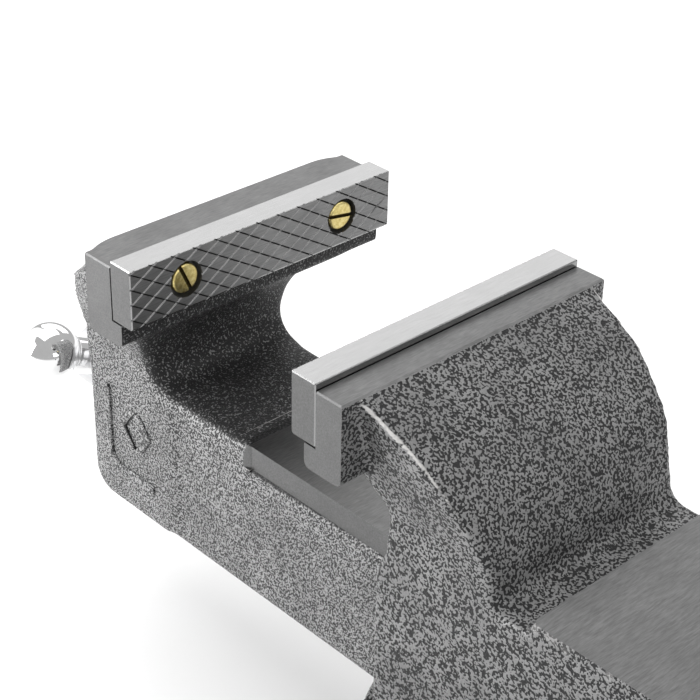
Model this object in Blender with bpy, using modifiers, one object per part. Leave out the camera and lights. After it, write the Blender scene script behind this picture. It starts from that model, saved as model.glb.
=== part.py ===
"""Bench vise with four-inch jaws on a swivel base, modelled at its real size.

+Z is up and the jaws clamp along X. The origin is on the swivel axis, in the plane that the base
stands on. The moving jaw is at -X and closes towards +X; the handle lies in the plane x = HANDLE_X.
"""

import math

import bmesh
import bpy
from mathutils import Matrix, Vector

MM = 0.001
GAP = 0.3 * MM

# Jaws
JAW_WIDTH = 101.6 * MM
JAW_TOP = 158.0 * MM
JAW_OPENING = 68.5 * MM
FRONT_FACE_X = -130.0 * MM
REAR_FACE_X = FRONT_FACE_X + JAW_OPENING
PLATE_HEIGHT = 19.4 * MM
PLATE_THICKNESS = 9.3 * MM
PLATE_PROUD = 2.07 * MM
HEAD_TOP = JAW_TOP - PLATE_PROUD
HEAD_BOTTOM = 130.8 * MM
LEDGE_TOP = JAW_TOP - PLATE_HEIGHT - GAP
LEDGE_REACH = 4.1 * MM
FRONT_HEAD_BACK = -151.4 * MM
REAR_HEAD_BACK = -42.2 * MM

# Jaw plate screws
SCREW_OFFSET = 30.6 * MM
SCREW_Z = JAW_TOP - 9.3 * MM
SCREW_HEAD_RADIUS = 4.65 * MM
SCREW_RECESS_RADIUS = 5.8 * MM
SCREW_SINK = 0.4 * MM
SCREW_HEAD = 3.0 * MM
SCREW_SHANK_RADIUS = 2.5 * MM
SCREW_LENGTH = 17.0 * MM

# Slide of the moving jaw and the tunnel that it runs in
SLIDE_TOP = 99.5 * MM
SLIDE_BOTTOM = 45.5 * MM
SLIDE_HALF = 26.8 * MM
STRIP_HALF = 25.8 * MM
STRIP_BOTTOM = 91.0 * MM
SLIDE_START = -108.5 * MM
SLIDE_END = 48.0 * MM
CHANNEL_HALF = 17.0 * MM
CHANNEL_TOP = 90.5 * MM
BLOCK_END = -148.0 * MM
BLOCK_HALF = 27.8 * MM
THROAT_FLOOR = 98.9 * MM
FLOOR_TOP = SLIDE_BOTTOM - 0.4 * MM
TUNNEL_HALF = 27.3 * MM
LAND_HALF = 26.2 * MM
TUNNEL_TOP = SLIDE_TOP + 0.4 * MM
HOUSING_HALF = 37.0 * MM
HOUSING_FRONT = -42.6 * MM
HOUSING_BACK = 65.0 * MM
MOUTH_RELIEF = 5.0 * MM
ANVIL_TOP = 113.0 * MM

# Lead screw, its nut and what holds it in the moving jaw
SPINDLE_Z = 72.3 * MM
SPINDLE_RADIUS = 9.7 * MM
SPINDLE_BORE = 10.1 * MM
SPINDLE_END = 46.0 * MM
BOSS_FACE = -190.5 * MM
HANDLE_X = -210.0 * MM
SPINDLE_HEAD_RADIUS = 12.5 * MM
SPINDLE_HEAD_END = -223.0 * MM
NUT_BACK = 16.0 * MM
NUT_FRONT = -22.0 * MM
NUT_HALF = 16.0 * MM
NUT_BASE = 43.4 * MM
NUT_TOP = 86.0 * MM
NUT_BOLT_X = (NUT_BACK + NUT_FRONT) / 2
COLLAR_X = -127.7 * MM

# Handle
BAR_RADIUS = 6.35 * MM
BALL_RADIUS = 10.0 * MM
HANDLE_SPAN = 150.0 * MM
NEAR_BALL_FROM_AXIS = 31.0 * MM
HANDLE_TILT = math.radians(-27.7)

# Swivel base and its two clamps
BASE_HEIGHT = 30.0 * MM
BASE_RADIUS = 62.0 * MM
FLANGE_BOTTOM = BASE_HEIGHT + 0.4 * MM
FLANGE_TOP = 42.4 * MM
FLANGE_RADIUS = 60.0 * MM
SPIGOT_RADIUS = 24.0 * MM
SPIGOT_TOP = 38.0 * MM
SPIGOT_BORE = 17.0 * MM
SPIGOT_WEB = 10.0 * MM
SLOT_RADIUS = 48.0 * MM
SLOT_NECK = 4.4 * MM
SLOT_UNDERCUT = 8.7 * MM
SLOT_CEILING = 22.0 * MM
SLOT_FLOOR = 12.0 * MM
LUG_DISTANCE = 72.0 * MM
LUG_RADIUS = 12.0 * MM
LUG_HEIGHT = 12.0 * MM
LUG_HOLE = 5.25 * MM
LUG_ANGLES = [math.radians(45 + 90 * quarter) for quarter in range(4)]
CLAMP_BOLT_RADIUS = 4.0 * MM
LEVER_LENGTH = 52.0 * MM
LEVER_RADIUS = 3.5 * MM
LEVER_RISE = math.radians(18)
LEVER_TURN = math.radians(-25)
KNOB_RADIUS = 9.0 * MM

ROUND = 48
ARC_STEP = math.radians(18)
SIDES = (("right", -1), ("left", 1))


# ---- Scene and materials -------------------------------------------------------------------------


def clear_scene():
    for obj in list(bpy.data.objects):
        bpy.data.objects.remove(obj, do_unlink=True)


def make_collection(name):
    collection = bpy.data.collections.new(name)
    bpy.context.scene.collection.children.link(collection)
    return collection


def make_material(name, colour, roughness, metallic):
    material = bpy.data.materials.new(name)
    material.use_nodes = True
    shader = material.node_tree.nodes["Principled BSDF"]
    shader.inputs["Base Color"].default_value = (*colour, 1.0)
    shader.inputs["Roughness"].default_value = roughness
    shader.inputs["Metallic"].default_value = metallic
    return material


# ---- Solids --------------------------------------------------------------------------------------


def add_object(name, mesh, collection, material=None):
    obj = bpy.data.objects.new(name, mesh)
    collection.objects.link(obj)
    if material:
        obj.data.materials.append(material)
    if collection.name == "cutters":
        obj.hide_render = True
        obj.display_type = "WIRE"
    return obj


def mesh_from(name, build):
    """A mesh that the given function fills in through bmesh."""
    mesh = bpy.data.meshes.new(name)
    shape = bmesh.new()
    build(shape)
    bmesh.ops.recalc_face_normals(shape, faces=shape.faces)
    shape.to_mesh(mesh)
    shape.free()
    return mesh


def box(name, low, high, collection, material=None):
    """A block between two opposite corners."""
    low, high = Vector(low), Vector(high)
    size = Matrix.Diagonal((*(high - low), 1))
    place = Matrix.Translation((low + high) / 2) @ size
    mesh = mesh_from(name, lambda shape: bmesh.ops.create_cube(shape, size=1, matrix=place))
    return add_object(name, mesh, collection, material)


def rod(name, start, end, radius, collection, material=None, segments=ROUND):
    """A solid cylinder between two points."""
    start, end = Vector(start), Vector(end)
    turn = (end - start).to_track_quat("Z", "Y").to_matrix().to_4x4()
    place = Matrix.Translation((start + end) / 2) @ turn
    mesh = mesh_from(
        name,
        lambda shape: bmesh.ops.create_cone(
            shape, cap_ends=True, segments=segments, radius1=radius, radius2=radius,
            depth=(end - start).length, matrix=place,
        ),
    )
    return add_object(name, mesh, collection, material)


def ball(name, centre, radius, collection, material=None):
    place = Matrix.Translation(Vector(centre))
    mesh = mesh_from(
        name,
        lambda shape: bmesh.ops.create_uvsphere(
            shape, u_segments=24, v_segments=12, radius=radius, matrix=place
        ),
    )
    return add_object(name, mesh, collection, material)


def turned(name, profile, place, collection, material=None, steps=32):
    """A ring or a shaft: (radius, height) points, top to bottom on the outer side, about local Z."""
    mesh = bpy.data.meshes.new(name)
    points = [(radius, 0, height) for radius, height in profile]
    on_axis = profile[0][0] == 0
    ends = [] if on_axis else [(len(points) - 1, 0)]
    mesh.from_pydata(points, [(i, i + 1) for i in range(len(points) - 1)] + ends, [])
    obj = add_object(name, mesh, collection, material)
    obj.matrix_world = place
    screw = obj.modifiers.new("turn", "SCREW")
    screw.axis = "Z"
    screw.steps = screw.render_steps = steps
    screw.use_merge_vertices = True
    screw.merge_threshold = 0.00001
    return obj


def rounded(corners):
    """An outline from (u, v, radius) corners, each turned into an arc that touches both its sides."""
    points = []
    count = len(corners)
    for index, (u, v, radius) in enumerate(corners):
        corner = Vector((u, v))
        before = Vector(corners[index - 1][:2]) - corner
        after = Vector(corners[(index + 1) % count][:2]) - corner
        if radius == 0:
            points.append(corner)
            continue
        before.normalize()
        after.normalize()
        half = before.angle(after) / 2
        centre = corner + (before + after).normalized() * radius / math.sin(half)
        start = corner + before * radius / math.tan(half) - centre
        sweep = start.angle_signed(corner + after * radius / math.tan(half) - centre)
        steps = max(1, math.ceil(abs(sweep) / ARC_STEP))
        for step in range(steps + 1):
            points.append(centre + Matrix.Rotation(-sweep * step / steps, 2) @ start)
    return points


def slab(name, outline, plane, low, high, collection, material=None):
    """A flat outline in the XZ or the YZ plane, extruded between two places along the third axis."""
    curve = bpy.data.curves.new(name, "CURVE")
    curve.dimensions = "2D"
    curve.fill_mode = "BOTH"
    curve.extrude = (high - low) / 2
    spline = curve.splines.new("POLY")
    spline.points.add(len(outline) - 1)
    for point, (u, v) in zip(spline.points, outline):
        point.co = (u, v, 0, 1)
    spline.use_cyclic_u = True
    drawn = bpy.data.objects.new(name + "_drawn", curve)
    bpy.context.scene.collection.objects.link(drawn)
    bpy.context.view_layer.update()
    evaluated = drawn.evaluated_get(bpy.context.evaluated_depsgraph_get())
    mesh = bpy.data.meshes.new_from_object(evaluated)
    bpy.data.objects.remove(drawn)
    bpy.data.curves.remove(curve)
    middle = (low + high) / 2
    if plane == "XZ":
        place = Matrix(((1, 0, 0, 0), (0, 0, -1, middle), (0, 1, 0, 0), (0, 0, 0, 1)))
    else:
        place = Matrix(((0, 0, 1, middle), (1, 0, 0, 0), (0, 1, 0, 0), (0, 0, 0, 1)))
    mesh.transform(place)
    shape = bmesh.new()
    shape.from_mesh(mesh)
    bmesh.ops.remove_doubles(shape, verts=shape.verts, dist=0.00001)
    bmesh.ops.recalc_face_normals(shape, faces=shape.faces)
    shape.to_mesh(mesh)
    shape.free()
    mesh.name = name
    return add_object(name, mesh, collection, material)


def combine(target, operation, *tools):
    """Boolean modifiers on the target: UNION, DIFFERENCE or INTERSECT with each tool in turn."""
    for tool in tools:
        modifier = target.modifiers.new(tool.name, "BOOLEAN")
        modifier.operation = operation
        modifier.solver = "EXACT"
        modifier.object = tool
    return target


def pivot(name, place, pieces, collection):
    """An empty on a joint's axis that carries the pieces of one moving body."""
    empty = bpy.data.objects.new(name, None)
    empty.empty_display_size = 20 * MM
    empty.location = place
    collection.objects.link(empty)
    bpy.context.view_layer.update()
    for piece in pieces:
        piece.parent = empty
        piece.matrix_parent_inverse = empty.matrix_world.inverted()
    return empty


def smooth_round(obj):
    obj.data.shade_smooth()
    obj.data.set_sharp_from_angle(angle=math.radians(35))


def along_x(x, y, z):
    """A frame whose local Z points along +X."""
    return Matrix.Translation((x, y, z)) @ Matrix.Rotation(math.pi / 2, 4, "Y")


# ---- Swivel base ---------------------------------------------------------------------------------


def swivel_base(parts, cutters, iron):
    """A drum with a T-slot for the clamp bolts, a spigot like a cup and four bolt lugs."""
    neck_in, neck_out = SLOT_RADIUS - SLOT_NECK, SLOT_RADIUS + SLOT_NECK
    deep_in, deep_out = SLOT_RADIUS - SLOT_UNDERCUT, SLOT_RADIUS + SLOT_UNDERCUT
    chamfer = 2 * MM
    profile = [
        (0, SPIGOT_WEB),
        (SPIGOT_BORE, SPIGOT_WEB),
        (SPIGOT_BORE, SPIGOT_TOP),
        (SPIGOT_RADIUS - chamfer / 2, SPIGOT_TOP),
        (SPIGOT_RADIUS, SPIGOT_TOP - chamfer / 2),
        (SPIGOT_RADIUS, BASE_HEIGHT),
        (neck_in, BASE_HEIGHT),
        (neck_in, SLOT_CEILING),
        (deep_in, SLOT_CEILING),
        (deep_in, SLOT_FLOOR),
        (deep_out, SLOT_FLOOR),
        (deep_out, SLOT_CEILING),
        (neck_out, SLOT_CEILING),
        (neck_out, BASE_HEIGHT),
        (BASE_RADIUS - chamfer, BASE_HEIGHT),
        (BASE_RADIUS, BASE_HEIGHT - chamfer),
        (BASE_RADIUS, 0),
        (0, 0),
    ]
    base = turned("swivel_base", profile, Matrix.Identity(4), parts, iron)
    for number, angle in enumerate(LUG_ANGLES):
        centre = Matrix.Rotation(angle, 3, "Z") @ Vector((LUG_DISTANCE, 0, 0))
        top = centre + Vector((0, 0, LUG_HEIGHT))
        lug = rod(f"lug_{number}", centre, top, LUG_RADIUS, cutters, segments=20)
        web = lug_web(f"lug_web_{number}", angle, cutters)
        combine(base, "UNION", web, lug)
        deep = Vector((0, 0, 2 * MM))
        hole = rod(f"lug_hole_{number}", centre - deep, top + deep, LUG_HOLE, cutters, segments=20)
        combine(base, "DIFFERENCE", hole)
    entry_top = (SLOT_RADIUS, 0, SLOT_FLOOR + 2 * MM)
    entry = rod("bolt_entry", (SLOT_RADIUS, 0, -2 * MM), entry_top, 11.5 * MM, cutters)
    return combine(base, "DIFFERENCE", entry)


def lug_web(name, angle, cutters):
    """The flared foot between the drum and a lug, along one of the lug directions."""
    root = BASE_RADIUS - 8 * MM
    flare = 26 * MM
    near = LUG_RADIUS * math.sin(math.radians(35))
    web = box(name, (root, -flare, 0), (LUG_DISTANCE + near, flare, LUG_HEIGHT), cutters)
    for vertex in web.data.vertices:
        if vertex.co.x > root:
            vertex.co.y *= LUG_RADIUS * math.cos(math.radians(35)) / flare
    web.data.transform(Matrix.Rotation(angle, 4, "Z"))
    return web


# ---- Castings ------------------------------------------------------------------------------------


def head_outline(front, back, direction):
    """Side outline of a jaw head with its plate seat; direction +1 clamps towards +X."""
    seat = front - direction * (PLATE_THICKNESS + GAP)
    ledge = front - direction * (PLATE_THICKNESS - LEDGE_REACH)
    return [
        (back, HEAD_BOTTOM),
        (ledge, HEAD_BOTTOM),
        (ledge, LEDGE_TOP),
        (seat, LEDGE_TOP),
        (seat, HEAD_TOP),
        (back, HEAD_TOP),
    ]


def mirrored_widths(halves):
    """A closed outline in the YZ plane from (half-width, height, radius) corners, top to bottom."""
    right = [(-half, height, radius) for half, height, radius in halves]
    left = [(half, height, radius) for half, height, radius in reversed(halves)]
    return rounded(right + left)


def cast_blank(name, side, widths, collection, cutters, material=None):
    """The part of a side outline that lies inside an outline of widths."""
    half = JAW_WIDTH / 2
    us = [point[0] for point in side]
    across = slab(
        name + "_widths", widths, "YZ", min(us) - 5 * MM, max(us) + 5 * MM, cutters
    )
    blank = slab(name, side, "XZ", -half, half, collection, material)
    return combine(blank, "INTERSECT", across)


def screw_holes(name, face, direction, length, cutters):
    """Cutters for the plate screws: the threaded holes that they enter."""
    holes = []
    for side, sign in SIDES:
        start = Vector((face + direction * 2 * MM, sign * SCREW_OFFSET, SCREW_Z))
        end = start - Vector((direction * (length + 2 * MM), 0, 0))
        radius = SCREW_SHANK_RADIUS + GAP
        holes.append(rod(f"{name}_{side}", start, end, radius, cutters, segments=24))
    return holes


def raised_mark(cutters):
    """The L-shaped rib and the lozenge that stand out of the moving jaw's side."""
    proud = 0.8 * MM
    outer = -BLOCK_HALF - proud
    inner = -BLOCK_HALF + 3 * MM
    bars = {
        "rib_upright": ((-179, 66), (-175.6, 90)),
        "rib_run": ((-171, 58), (-154, 61)),
    }
    pieces = []
    for name, (low, high) in bars.items():
        corners = [
            (low[0] * MM, low[1] * MM),
            (high[0] * MM, low[1] * MM),
            (high[0] * MM, high[1] * MM),
            (low[0] * MM, high[1] * MM),
        ]
        pieces.append(slab(name, corners, "XZ", outer, inner, cutters))
    bend = [(-179, 66, 0), (-179, 58, 8), (-171, 58, 0), (-171, 61, 0), (-175.6, 61, 4.6), (-175.6, 66, 0)]
    corners = rounded([(u * MM, v * MM, radius * MM) for u, v, radius in bend])
    pieces.append(slab("rib_bend", corners, "XZ", outer, inner, cutters))
    for name, tip, sign in (("lozenge_front", -171, 1), ("lozenge_back", -154.8, -1)):
        arms = [(0, 0), (5, 7), (8.2, 7), (3.2, 0), (8.2, -7), (5, -7)]
        corners = [((tip + sign * u) * MM, (78 + v) * MM) for u, v in arms]
        pieces.append(slab(name, corners, "XZ", outer, inner, cutters))
    return pieces


def front_body(parts, cutters, iron):
    """The moving jaw: head, hood, throat, block and slide in one casting."""
    side = rounded(
        [
            (-141 * MM, HEAD_TOP, 0),
            (-153.9 * MM, HEAD_TOP, 0),
            (-172.5 * MM, 137.5 * MM, 30 * MM),
            (-183.5 * MM, 120 * MM, 26 * MM),
            (-188.5 * MM, 105 * MM, 12 * MM),
            (-187 * MM, 92 * MM, 12 * MM),
            (-187 * MM, SLIDE_BOTTOM, 9 * MM),
            (BLOCK_END, SLIDE_BOTTOM, 0),
            (BLOCK_END + 4 * MM, SLIDE_BOTTOM + 4 * MM, 0),
            (BLOCK_END + 4 * MM, THROAT_FLOOR, 0),
            (-153.8 * MM, THROAT_FLOOR, 9 * MM),
            (-153.8 * MM, 118.5 * MM, 14 * MM),
            (-136 * MM, HEAD_BOTTOM, 0),
            (-136 * MM, HEAD_BOTTOM + 2 * MM, 0),
            (-141 * MM, HEAD_BOTTOM + 2 * MM, 0),
        ]
    )
    widths = mirrored_widths(
        [
            (47 * MM, 160 * MM, 0),
            (41.4 * MM, 136 * MM, 30 * MM),
            (BLOCK_HALF, 107 * MM, 14 * MM),
            (BLOCK_HALF, 40 * MM, 0),
        ]
    )
    body = cast_blank("front_body", side, widths, parts, cutters, iron)
    half = JAW_WIDTH / 2
    head = slab("front_head", head_outline(FRONT_FACE_X, FRONT_HEAD_BACK, 1), "XZ", -half, half, cutters)
    rail_outline = [
        (BLOCK_END - 6 * MM, SLIDE_BOTTOM),
        (SLIDE_END, SLIDE_BOTTOM),
        (SLIDE_END, SLIDE_TOP),
        (SLIDE_START, SLIDE_TOP),
        (SLIDE_START - 0.6 * MM, THROAT_FLOOR),
        (BLOCK_END - 6 * MM, THROAT_FLOOR),
    ]
    rail = slab("front_rail", rail_outline, "XZ", -SLIDE_HALF, SLIDE_HALF, cutters)
    boss = rod("spindle_boss", (BOSS_FACE, 0, SPINDLE_Z), (-180 * MM, 0, SPINDLE_Z), 18 * MM, cutters)
    combine(body, "UNION", head, rail, boss, *raised_mark(cutters))
    over = 2 * MM
    for name, sign in SIDES:
        low, high = sorted((sign * STRIP_HALF, sign * (SLIDE_HALF + over)))
        strip = box(
            f"slide_strip_{name}",
            (SLIDE_START, low, STRIP_BOTTOM),
            (SLIDE_END + over, high, SLIDE_TOP + over),
            cutters,
        )
        combine(body, "DIFFERENCE", strip)
    channel = box(
        "slide_channel",
        (BLOCK_END, -CHANNEL_HALF, SLIDE_BOTTOM - over),
        (SLIDE_END + over, CHANNEL_HALF, CHANNEL_TOP),
        cutters,
    )
    bore_start = (BOSS_FACE - over, 0, SPINDLE_Z)
    bore = rod("spindle_bore", bore_start, (BLOCK_END + over, 0, SPINDLE_Z), SPINDLE_BORE, cutters)
    reach = PLATE_THICKNESS + 9.4 * MM
    holes = screw_holes("front_screw_hole", FRONT_FACE_X, 1, reach, cutters)
    return combine(body, "DIFFERENCE", channel, bore, *holes)


def rear_body(parts, cutters, iron):
    """The fixed jaw: head, hood, anvil and the tunnel housing on its swivel flange, in one casting."""
    side = rounded(
        [
            (-51.5 * MM, HEAD_TOP - 0.6 * MM, 0),
            (-40.5 * MM, HEAD_TOP - 0.6 * MM, 2 * MM),
            (-22 * MM, 146.7 * MM, 32 * MM),
            (-7.6 * MM, 132.5 * MM, 30 * MM),
            (-0.8 * MM, 118 * MM, 24 * MM),
            (0.2 * MM, 108.6 * MM, 5 * MM),
            (11.8 * MM, 108.6 * MM, 1.5 * MM),
            (13 * MM, ANVIL_TOP, 0.6 * MM),
            (62 * MM, ANVIL_TOP, 2 * MM),
            (HOUSING_BACK, 104 * MM, 3 * MM),
            (HOUSING_BACK, FLANGE_BOTTOM + 4 * MM, 0),
            (HOUSING_FRONT, FLANGE_BOTTOM + 4 * MM, 0),
            (HOUSING_FRONT, 98 * MM, 6 * MM),
            (-39 * MM, 105 * MM, 6 * MM),
            (-39 * MM, 119 * MM, 8 * MM),
            (-51 * MM, HEAD_BOTTOM + 1 * MM, 0),
        ]
    )
    widths = mirrored_widths(
        [
            (46.4 * MM, 160 * MM, 0),
            (43.3 * MM, 145 * MM, 30 * MM),
            (40.6 * MM, 133 * MM, 30 * MM),
            (36.4 * MM, 118.5 * MM, 10 * MM),
            (HOUSING_HALF, 108 * MM, 10 * MM),
            (HOUSING_HALF, 25 * MM, 0),
        ]
    )
    body = cast_blank("rear_body", side, widths, parts, cutters, iron)
    half = JAW_WIDTH / 2
    head = slab("rear_head", head_outline(REAR_FACE_X, REAR_HEAD_BACK, -1), "XZ", -half, half, cutters)
    flange = rod("flange", (0, 0, FLANGE_BOTTOM), (0, 0, FLANGE_TOP), FLANGE_RADIUS, cutters, segments=64)
    combine(body, "UNION", head, flange)
    over = 3 * MM
    tunnel_outline = [
        (-TUNNEL_HALF, FLOOR_TOP),
        (TUNNEL_HALF, FLOOR_TOP),
        (TUNNEL_HALF, STRIP_BOTTOM + 0.5 * MM),
        (LAND_HALF, STRIP_BOTTOM + 0.5 * MM),
        (LAND_HALF, TUNNEL_TOP),
        (-LAND_HALF, TUNNEL_TOP),
        (-LAND_HALF, STRIP_BOTTOM + 0.5 * MM),
        (-TUNNEL_HALF, STRIP_BOTTOM + 0.5 * MM),
    ]
    ends = (HOUSING_FRONT - over, HOUSING_BACK + over)
    tunnel = slab("slide_tunnel", tunnel_outline, "YZ", *ends, cutters)
    mouth = box(
        "tunnel_mouth",
        (ends[0], -TUNNEL_HALF, STRIP_BOTTOM),
        (HOUSING_FRONT + MOUTH_RELIEF, TUNNEL_HALF, TUNNEL_TOP),
        cutters,
    )
    pocket = box(
        "nut_pocket",
        (NUT_FRONT - GAP, -NUT_HALF - GAP, NUT_BASE - GAP),
        (NUT_BACK + GAP, NUT_HALF + GAP, FLOOR_TOP + over),
        cutters,
    )
    sink_top = SPIGOT_TOP + GAP
    sink = rod("spigot_sink", (0, 0, FLANGE_BOTTOM - over), (0, 0, sink_top), SPIGOT_RADIUS + GAP, cutters)
    bolt_hole = rod(
        "nut_bolt_hole", (NUT_BOLT_X, 0, sink_top - over), (NUT_BOLT_X, 0, FLOOR_TOP), 4.4 * MM, cutters,
        segments=24,
    )
    combine(body, "DIFFERENCE", tunnel, mouth, pocket, sink, bolt_hole)
    for name, sign in SIDES:
        hole = rod(
            f"clamp_hole_{name}",
            (0, sign * SLOT_RADIUS, FLANGE_BOTTOM - over),
            (0, sign * SLOT_RADIUS, FLANGE_TOP + over),
            CLAMP_BOLT_RADIUS + GAP,
            cutters,
            segments=24,
        )
        combine(body, "DIFFERENCE", hole)
    reach = PLATE_THICKNESS + 9.4 * MM
    return combine(body, "DIFFERENCE", *screw_holes("rear_screw_hole", REAR_FACE_X, -1, reach, cutters))


# ---- Jaw plates and their screws -----------------------------------------------------------------


def jaw_plate(name, face, direction, parts, cutters, steel):
    """A flat jaw plate with two counterbored screw holes and a small round on its lower front edge."""
    half = JAW_WIDTH / 2
    back = face - direction * PLATE_THICKNESS
    bottom = JAW_TOP - PLATE_HEIGHT
    outline = rounded([(face, bottom, 1.2 * MM), (face, JAW_TOP, 0), (back, JAW_TOP, 0), (back, bottom, 0)])
    plate = slab(name, outline, "XZ", -half, half, parts, steel)
    over = 2 * MM
    for side, sign in SIDES:
        centre = Vector((face, sign * SCREW_OFFSET, SCREW_Z))
        outward = Vector((direction, 0, 0))
        sink = rod(
            f"{name}_sink_{side}",
            centre + outward * over,
            centre - outward * (SCREW_SINK + SCREW_HEAD + GAP),
            SCREW_RECESS_RADIUS,
            cutters,
            segments=32,
        )
        hole = rod(
            f"{name}_hole_{side}",
            centre,
            centre - outward * (PLATE_THICKNESS + over),
            SCREW_SHANK_RADIUS + GAP,
            cutters,
            segments=24,
        )
        combine(plate, "DIFFERENCE", sink, hole)
    return plate


def jaw_screw(name, face, direction, y, slot_angle, parts, cutters, brass):
    """A slotted cheese-head screw, with its head just below the clamping face."""
    place = Matrix.Translation((face - direction * SCREW_SINK, y, SCREW_Z))
    place @= Matrix.Rotation(direction * math.pi / 2, 4, "Y")
    rim = 0.5 * MM
    profile = [
        (0, 0),
        (SCREW_HEAD_RADIUS - rim, 0),
        (SCREW_HEAD_RADIUS, -rim),
        (SCREW_HEAD_RADIUS, -SCREW_HEAD),
        (SCREW_SHANK_RADIUS, -SCREW_HEAD),
        (SCREW_SHANK_RADIUS, -SCREW_LENGTH + rim),
        (SCREW_SHANK_RADIUS - rim, -SCREW_LENGTH),
        (0, -SCREW_LENGTH),
    ]
    screw = turned(name, profile, place, parts, brass)
    long, wide, deep = 6 * MM, 0.6 * MM, 1.4 * MM
    slot = box(name + "_slot", (-long, -wide, -deep), (long, wide, deep), cutters)
    slot.data.transform(place @ Matrix.Rotation(slot_angle, 4, "Z"))
    return combine(screw, "DIFFERENCE", slot)


# ---- Lead screw and nut --------------------------------------------------------------------------


def lead_screw(parts, cutters, steel):
    """The spindle: a head with the handle's cross hole, a thrust flange and the threaded shank."""
    flange_back, flange_front = -193.6 * MM, -198.6 * MM
    edge = 1.5 * MM
    profile = [
        (0, SPINDLE_END),
        (SPINDLE_RADIUS - edge, SPINDLE_END),
        (SPINDLE_RADIUS, SPINDLE_END - edge),
        (SPINDLE_RADIUS, flange_back),
        (16 * MM, flange_back),
        (16 * MM, flange_front + edge),
        (14.5 * MM, flange_front),
        (SPINDLE_HEAD_RADIUS, flange_front),
        (SPINDLE_HEAD_RADIUS, SPINDLE_HEAD_END + 2 * edge),
        (SPINDLE_HEAD_RADIUS - 2 * edge, SPINDLE_HEAD_END),
        (0, SPINDLE_HEAD_END),
    ]
    screw = turned("lead_screw", profile, along_x(0, 0, SPINDLE_Z), parts, steel, ROUND)
    hole = handle_rod("handle_hole", -22 * MM, 22 * MM, BAR_RADIUS + GAP, cutters)
    pin_hole = rod(
        "pin_hole_in_screw", (COLLAR_X, 0, SPINDLE_Z - 12 * MM), (COLLAR_X, 0, SPINDLE_Z + 12 * MM),
        2 * MM + GAP, cutters, segments=24,
    )
    return combine(screw, "DIFFERENCE", hole, pin_hole)


def ring(name, inner, outer, low_x, high_x, parts, material):
    """A plain ring round the spindle between two places along X."""
    profile = [(inner, high_x), (outer, high_x), (outer, low_x), (inner, low_x)]
    return turned(name, profile, along_x(0, 0, SPINDLE_Z), parts, material)


def spindle_spring(parts, steel):
    """The coil spring that keeps the jaw against the thrust washer as the vise opens."""
    turns, around = 3.5, 16
    wire, radius = 1.2 * MM, 12.6 * MM
    start, end = -144.3 * MM, -134.5 * MM
    curve = bpy.data.curves.new("spindle_spring", "CURVE")
    curve.dimensions = "3D"
    curve.bevel_depth = wire
    curve.bevel_resolution = 2
    curve.use_fill_caps = True
    spline = curve.splines.new("POLY")
    count = int(turns * around) + 1
    spline.points.add(count - 1)
    for index, point in enumerate(spline.points):
        angle = 2 * math.pi * index / around
        x = start + (end - start) * index / (count - 1)
        point.co = (x, radius * math.cos(angle), SPINDLE_Z + radius * math.sin(angle), 1)
    return add_object("spindle_spring", curve, parts, steel)


def retaining_collar(parts, cutters, steel):
    half = 5 * MM
    ends = (COLLAR_X - half, COLLAR_X + half)
    collar = ring("retaining_collar", SPINDLE_RADIUS + GAP, 15 * MM, *ends, parts, steel)
    reach = 18 * MM
    hole = rod(
        "pin_hole_in_collar", (COLLAR_X, 0, SPINDLE_Z - reach), (COLLAR_X, 0, SPINDLE_Z + reach),
        2 * MM + GAP, cutters, segments=24,
    )
    return combine(collar, "DIFFERENCE", hole)


def collar_pin(parts, steel):
    reach = 14.5 * MM
    low, high = (COLLAR_X, 0, SPINDLE_Z - reach), (COLLAR_X, 0, SPINDLE_Z + reach)
    return rod("collar_pin", low, high, 2 * MM, parts, steel, segments=20)


def lead_nut(parts, cutters, iron):
    """A block with a rounded top that the lead screw turns in, set in a pocket of the housing's floor."""
    corners = [
        (-NUT_HALF, NUT_BASE, 0),
        (NUT_HALF, NUT_BASE, 0),
        (NUT_HALF, NUT_TOP, 9 * MM),
        (-NUT_HALF, NUT_TOP, 9 * MM),
    ]
    nut = slab("lead_nut", rounded(corners), "YZ", NUT_FRONT, NUT_BACK, parts, iron)
    over = 2 * MM
    bore_ends = (NUT_FRONT - over, 0, SPINDLE_Z), (NUT_BACK + over, 0, SPINDLE_Z)
    bore = rod("nut_bore", *bore_ends, SPINDLE_BORE, cutters)
    thread = rod(
        "nut_bolt_thread", (NUT_BOLT_X, 0, NUT_BASE - over), (NUT_BOLT_X, 0, 59 * MM),
        4 * MM + GAP, cutters, segments=24,
    )
    return combine(nut, "DIFFERENCE", bore, thread)


def nut_fasteners(parts, steel):
    """The hexagon bolt and washer that hold the nut down, from under the floor."""
    ceiling = SPIGOT_TOP + GAP
    washer_low = ceiling - GAP - 1.5 * MM
    place = Matrix.Translation((NUT_BOLT_X, 0, 0))
    profile = [
        (4 * MM + GAP, ceiling - GAP),
        (8 * MM, ceiling - GAP),
        (8 * MM, washer_low),
        (4 * MM + GAP, washer_low),
    ]
    washer = turned("nut_bolt_washer", profile, place, parts, steel)
    head_top = washer_low - GAP
    shank = rod(
        "nut_bolt", (NUT_BOLT_X, 0, head_top - 1 * MM), (NUT_BOLT_X, 0, 57 * MM), 4 * MM, parts, steel,
        segments=24,
    )
    return washer, shank, head_top


def nut_bolt(shank, head_top, cutters):
    head = rod(
        "nut_bolt_head", (NUT_BOLT_X, 0, head_top - 5.3 * MM), (NUT_BOLT_X, 0, head_top), 7.5 * MM,
        cutters, segments=6,
    )
    return combine(shank, "UNION", head)


# ---- Handle --------------------------------------------------------------------------------------


def handle_point(distance):
    """A point on the handle's axis, measured from the spindle's axis towards +Y."""
    y = distance * math.cos(HANDLE_TILT)
    return Vector((HANDLE_X, y, SPINDLE_Z + distance * math.sin(HANDLE_TILT)))


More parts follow.
